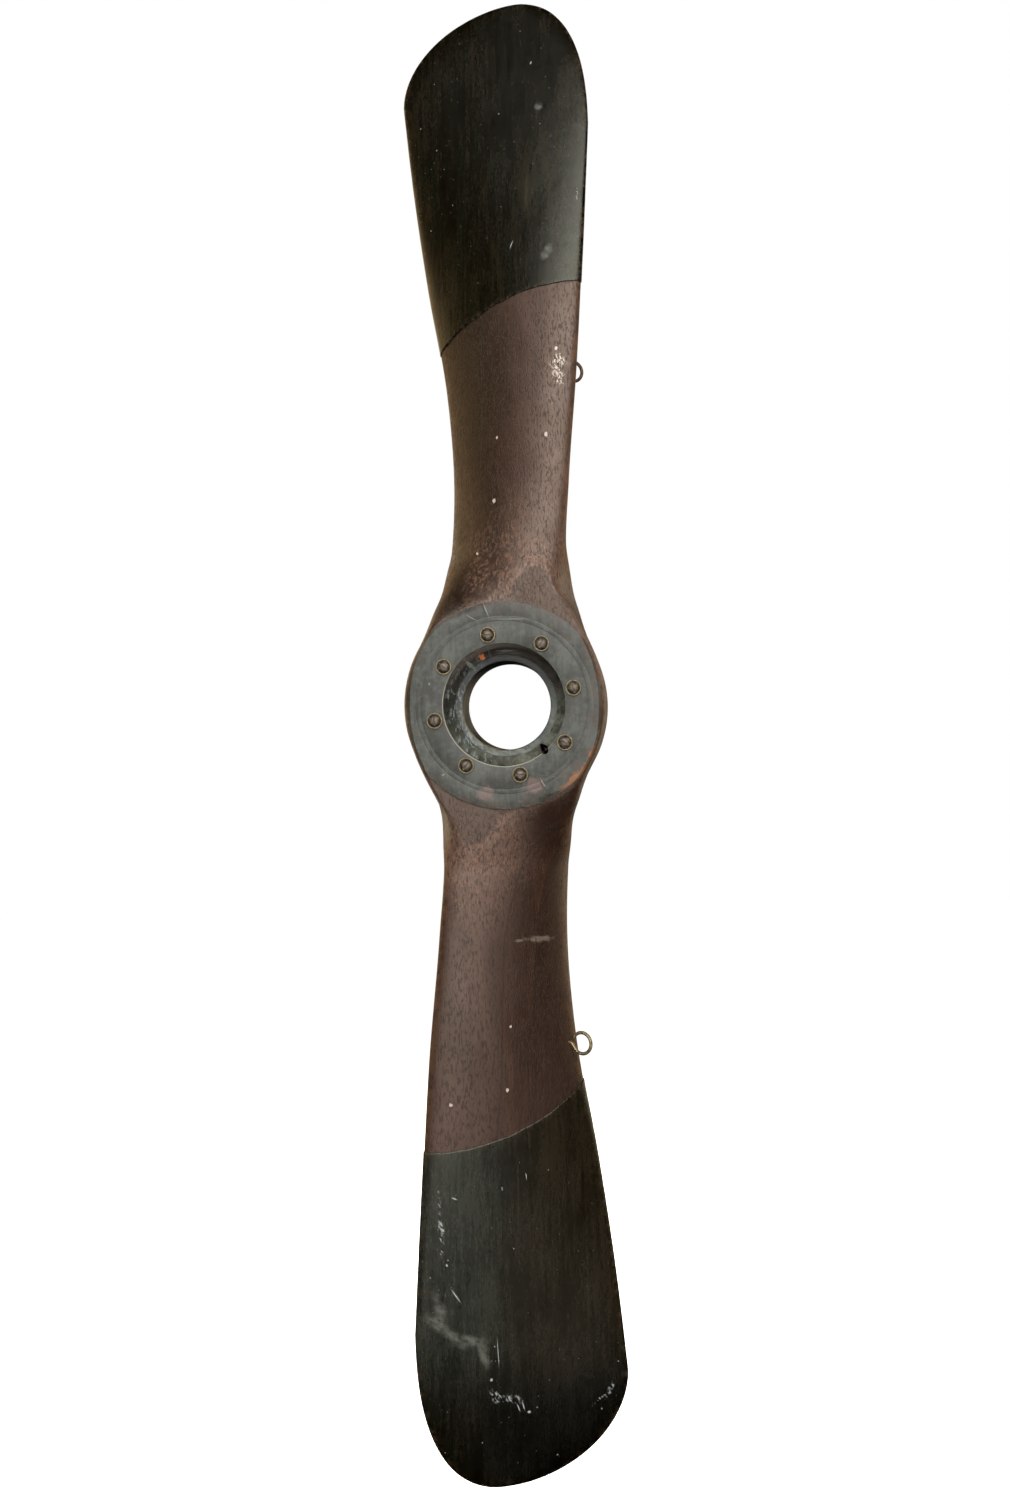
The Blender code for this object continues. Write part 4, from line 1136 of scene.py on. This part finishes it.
def tip_skin(name, side, node, finish):
    """The painted fabric round one blade's outer half, clear of the wood by a hair."""
    outer = LEADING_EDGE[-1][0]
    angles = column_angles()
    bm = bmesh.new()
    hem_layer = bm.verts.layers.float.new("fabric_hem")
    rings = []
    for row in range(SKIN_ROWS):
        ring = []
        for a in angles:
            start = fabric_edge(a if side > 0 else math.pi - a)
            start += 0.0012 * noise.noise(Vector((6 * math.cos(a), 6 * math.sin(a), side * 4.0)))
            share = (row / SKIN_ROWS) ** 1.3
            vertex = bm.verts.new(surface_point(side * (start + (outer - start) * share), a))
            vertex[hem_layer] = math.exp(-(outer - start) * share / 0.0025)
            ring.append(vertex)
        rings.append(ring)
    for r in tip_radii():
        rings.append([bm.verts.new(surface_point(side * r, a)) for a in angles])
    bridge(bm, rings)
    bm.faces.new(rings[-1])
    bmesh.ops.recalc_face_normals(bm, faces=bm.faces)
    bm.normal_update()
    for vertex in bm.verts:
        puff = FABRIC_PUFF * (1 + noise.noise(vertex.co * 60))
        vertex.co += vertex.normal * (FABRIC_GAP + puff)
    mesh = mesh_from(bm, name)
    edge_wear(mesh)
    made = add(name, mesh, finish)
    shell = made.modifiers.new("fabric_thickness", "SOLIDIFY")
    shell.thickness = FABRIC_THICK
    shell.offset = 1.0
    place_piece(made, "tip_paint", node)


def screw_eye(name, centre, way, slot, node, finish):
    """A bent-wire screw eye: a shank in the wood and a ring that doesn't quite close."""
    up = Vector((0, 0, 1))
    centre = Vector(centre)
    path = [centre - way * (EYE_SHANK - EYE_STRAIGHT * k / 6) for k in range(6)]
    path += [centre - way * (EYE_RING + behind) - up * below for behind, below in EYE_NECK]
    for step in range(EYE_STEPS):
        angle = EYE_START + EYE_SWEEP * step / (EYE_STEPS - 1)
        path.append(centre + EYE_RING * (math.cos(angle) * way + math.sin(angle) * up))
    curve = bpy.data.curves.new(name, "CURVE")
    curve.dimensions = "3D"
    curve.bevel_depth = EYE_WIRE
    curve.bevel_resolution = 6
    curve.use_fill_caps = True
    spline = curve.splines.new("POLY")
    spline.points.add(len(path) - 1)
    for point, place in zip(spline.points, path):
        point.co = (*place, 1.0)
    swept = add(name, curve)
    bm = bmesh.new()
    bm.from_mesh(evaluated_mesh(swept))
    bpy.data.objects.remove(swept)
    bmesh.ops.remove_doubles(bm, verts=bm.verts, dist=MERGE_DISTANCE)
    made = add(name, mesh_from(bm, name), finish)
    place_piece(made, slot, node)


def propeller():
    """Every piece of the propeller, with its material."""
    steel = old_metal("browned_steel", (0.018, 0.013, 0.009), (0.070, 0.055, 0.039), (0.22, 0.185, 0.14),
                      0.6, 0.0068)
    brass = old_metal("tarnished_brass", (0.050, 0.040, 0.024), (0.190, 0.150, 0.085), (0.44, 0.36, 0.21),
                      0.8, 0.0036)
    boards(mahogany())
    plate_paint = hub_paint()
    trim = carved_blank(flat_hub=False)
    hub_plate("front_plate_painted", -1, "front_face_plate", trim, plate_paint)
    hub_plate("rear_plate_painted", 1, "rear_face_plate", trim, plate_paint)
    bore_sleeve(sleeve_paint())
    fasteners(steel, brass)
    dope = tip_paint()
    tip_skin("upper_tip_skin", 1, "upper_tip_fabric", dope)
    tip_skin("lower_tip_skin", -1, "lower_tip_fabric", dope)
    rust = old_metal("rusty_wire", (0.030, 0.016, 0.010), (0.095, 0.055, 0.032), (0.20, 0.13, 0.08), 0.6,
                     1.0)
    dull = old_metal("dull_brass_wire", (0.10, 0.085, 0.05), (0.26, 0.20, 0.11), (0.46, 0.37, 0.22), 0.8,
                     1.0)
    screw_eye("upper_eye_wire", UPPER_EYE, eye_way(1), "eye_steel", "upper_screw_eye", rust)
    screw_eye("lower_eye_wire", LOWER_EYE, eye_way(-1), "eye_brass", "lower_screw_eye", dull)


# ---- Camera, light and stage ----
def camera():
    """The viewing angle: level with the hub, a little to its right, tipped up and slightly turned."""
    data = bpy.data.cameras.new("camera")
    data.sensor_width = 36.0
    data.lens = 35.96
    data.shift_x = 0.0035
    data.shift_y = -0.1175
    made = add("camera", data)
    turn = Matrix.Rotation(math.radians(4.45), 4, "Z")
    pitch = Matrix.Rotation(math.radians(90 + 6.58), 4, "X")
    roll = Matrix.Rotation(math.radians(-1.63), 4, "Z")
    made.matrix_world = Matrix.Translation((0.1534, -2.0446, -0.0552)) @ turn @ pitch @ roll
    bpy.context.scene.camera = made


def area_light(name, place, target, width, height, watts, colour):
    """A soft rectangular light that faces a point."""
    data = bpy.data.lights.new(name, "AREA")
    data.shape = "RECTANGLE"
    data.size = width
    data.size_y = height
    data.energy = watts
    data.color = colour
    made = add(name, data)
    away = Vector(place) - Vector(target)
    made.matrix_world = Matrix.Translation(place) @ away.to_track_quat("Z", "Y").to_matrix().to_4x4()
    return made


def studio():
    """Soft light from in front, dim warm panels at the sides and behind, a fill for the back that
    isn't reflected, and a plain pale floor."""
    area_light("upper_front", (0.35, -3.0, 1.3), (0.0, 0.0, 0.1), 5.0, 1.7, 190, (1.0, 0.98, 0.97))
    area_light("lower_front", (0.55, -3.0, -0.85), (0.0, 0.0, -0.1), 3.7, 1.5, 49, (1.0, 0.97, 0.95))
    area_light("left_rear_upper", (-2.4, 0.9, 1.5), (0.0, 0.0, 0.6), 2.2, 1.6, 20, (1.0, 0.70, 0.37))
    area_light("left_rear_lower", (-2.4, 0.9, -0.4), (0.0, 0.0, -0.3), 2.2, 1.2, 6, (1.0, 0.70, 0.37))
    area_light("right_rear", (2.3, 1.3, 0.0), (0.0, 0.0, 0.0), 1.4, 2.8, 14, (1.0, 0.82, 0.56))
    behind = area_light("back_fill", (0.0, 2.8, 1.2), (0.0, 0.0, 0.0), 2.6, 2.2, 220, (1.0, 0.98, 0.95))
    behind.visible_glossy = False
    area_light("left_back", (-1.8, 2.4, 0.2), (0.0, 0.0, 0.0), 1.1, 2.8, 20, (1.0, 0.84, 0.60))
    area_light("right_back", (1.8, 2.4, 0.0), (0.0, 0.0, 0.0), 1.1, 2.8, 14, (1.0, 0.86, 0.64))

    bm = bmesh.new()
    below = Matrix.Translation((0, 0, -1.25))
    bmesh.ops.create_grid(bm, x_segments=1, y_segments=1, size=9.0, matrix=below)
    pale = bpy.data.materials.new("pale_floor")
    pale.use_nodes = True
    shader = pale.node_tree.nodes["Principled BSDF"]
    shader.inputs["Base Color"].default_value = (0.9, 0.9, 0.9, 1.0)
    shader.inputs["Roughness"].default_value = 0.9
    shader.inputs["Emission Color"].default_value = (1.0, 1.0, 1.0, 1.0)
    shader.inputs["Emission Strength"].default_value = 1.0
    floor = add("floor", flat_mesh(bm, "floor"), pale)
    floor.visible_diffuse = False
    floor.visible_glossy = False

    world = bpy.data.worlds.new("studio")
    world.use_nodes = True
    world.node_tree.nodes["Background"].inputs["Color"].default_value = (1.0, 1.0, 1.0, 1.0)
    world.cycles_visibility.diffuse = False
    world.cycles_visibility.glossy = False
    bpy.context.scene.world = world
    bpy.context.scene.view_settings.view_transform = "Standard"


camera()
studio()
propeller()
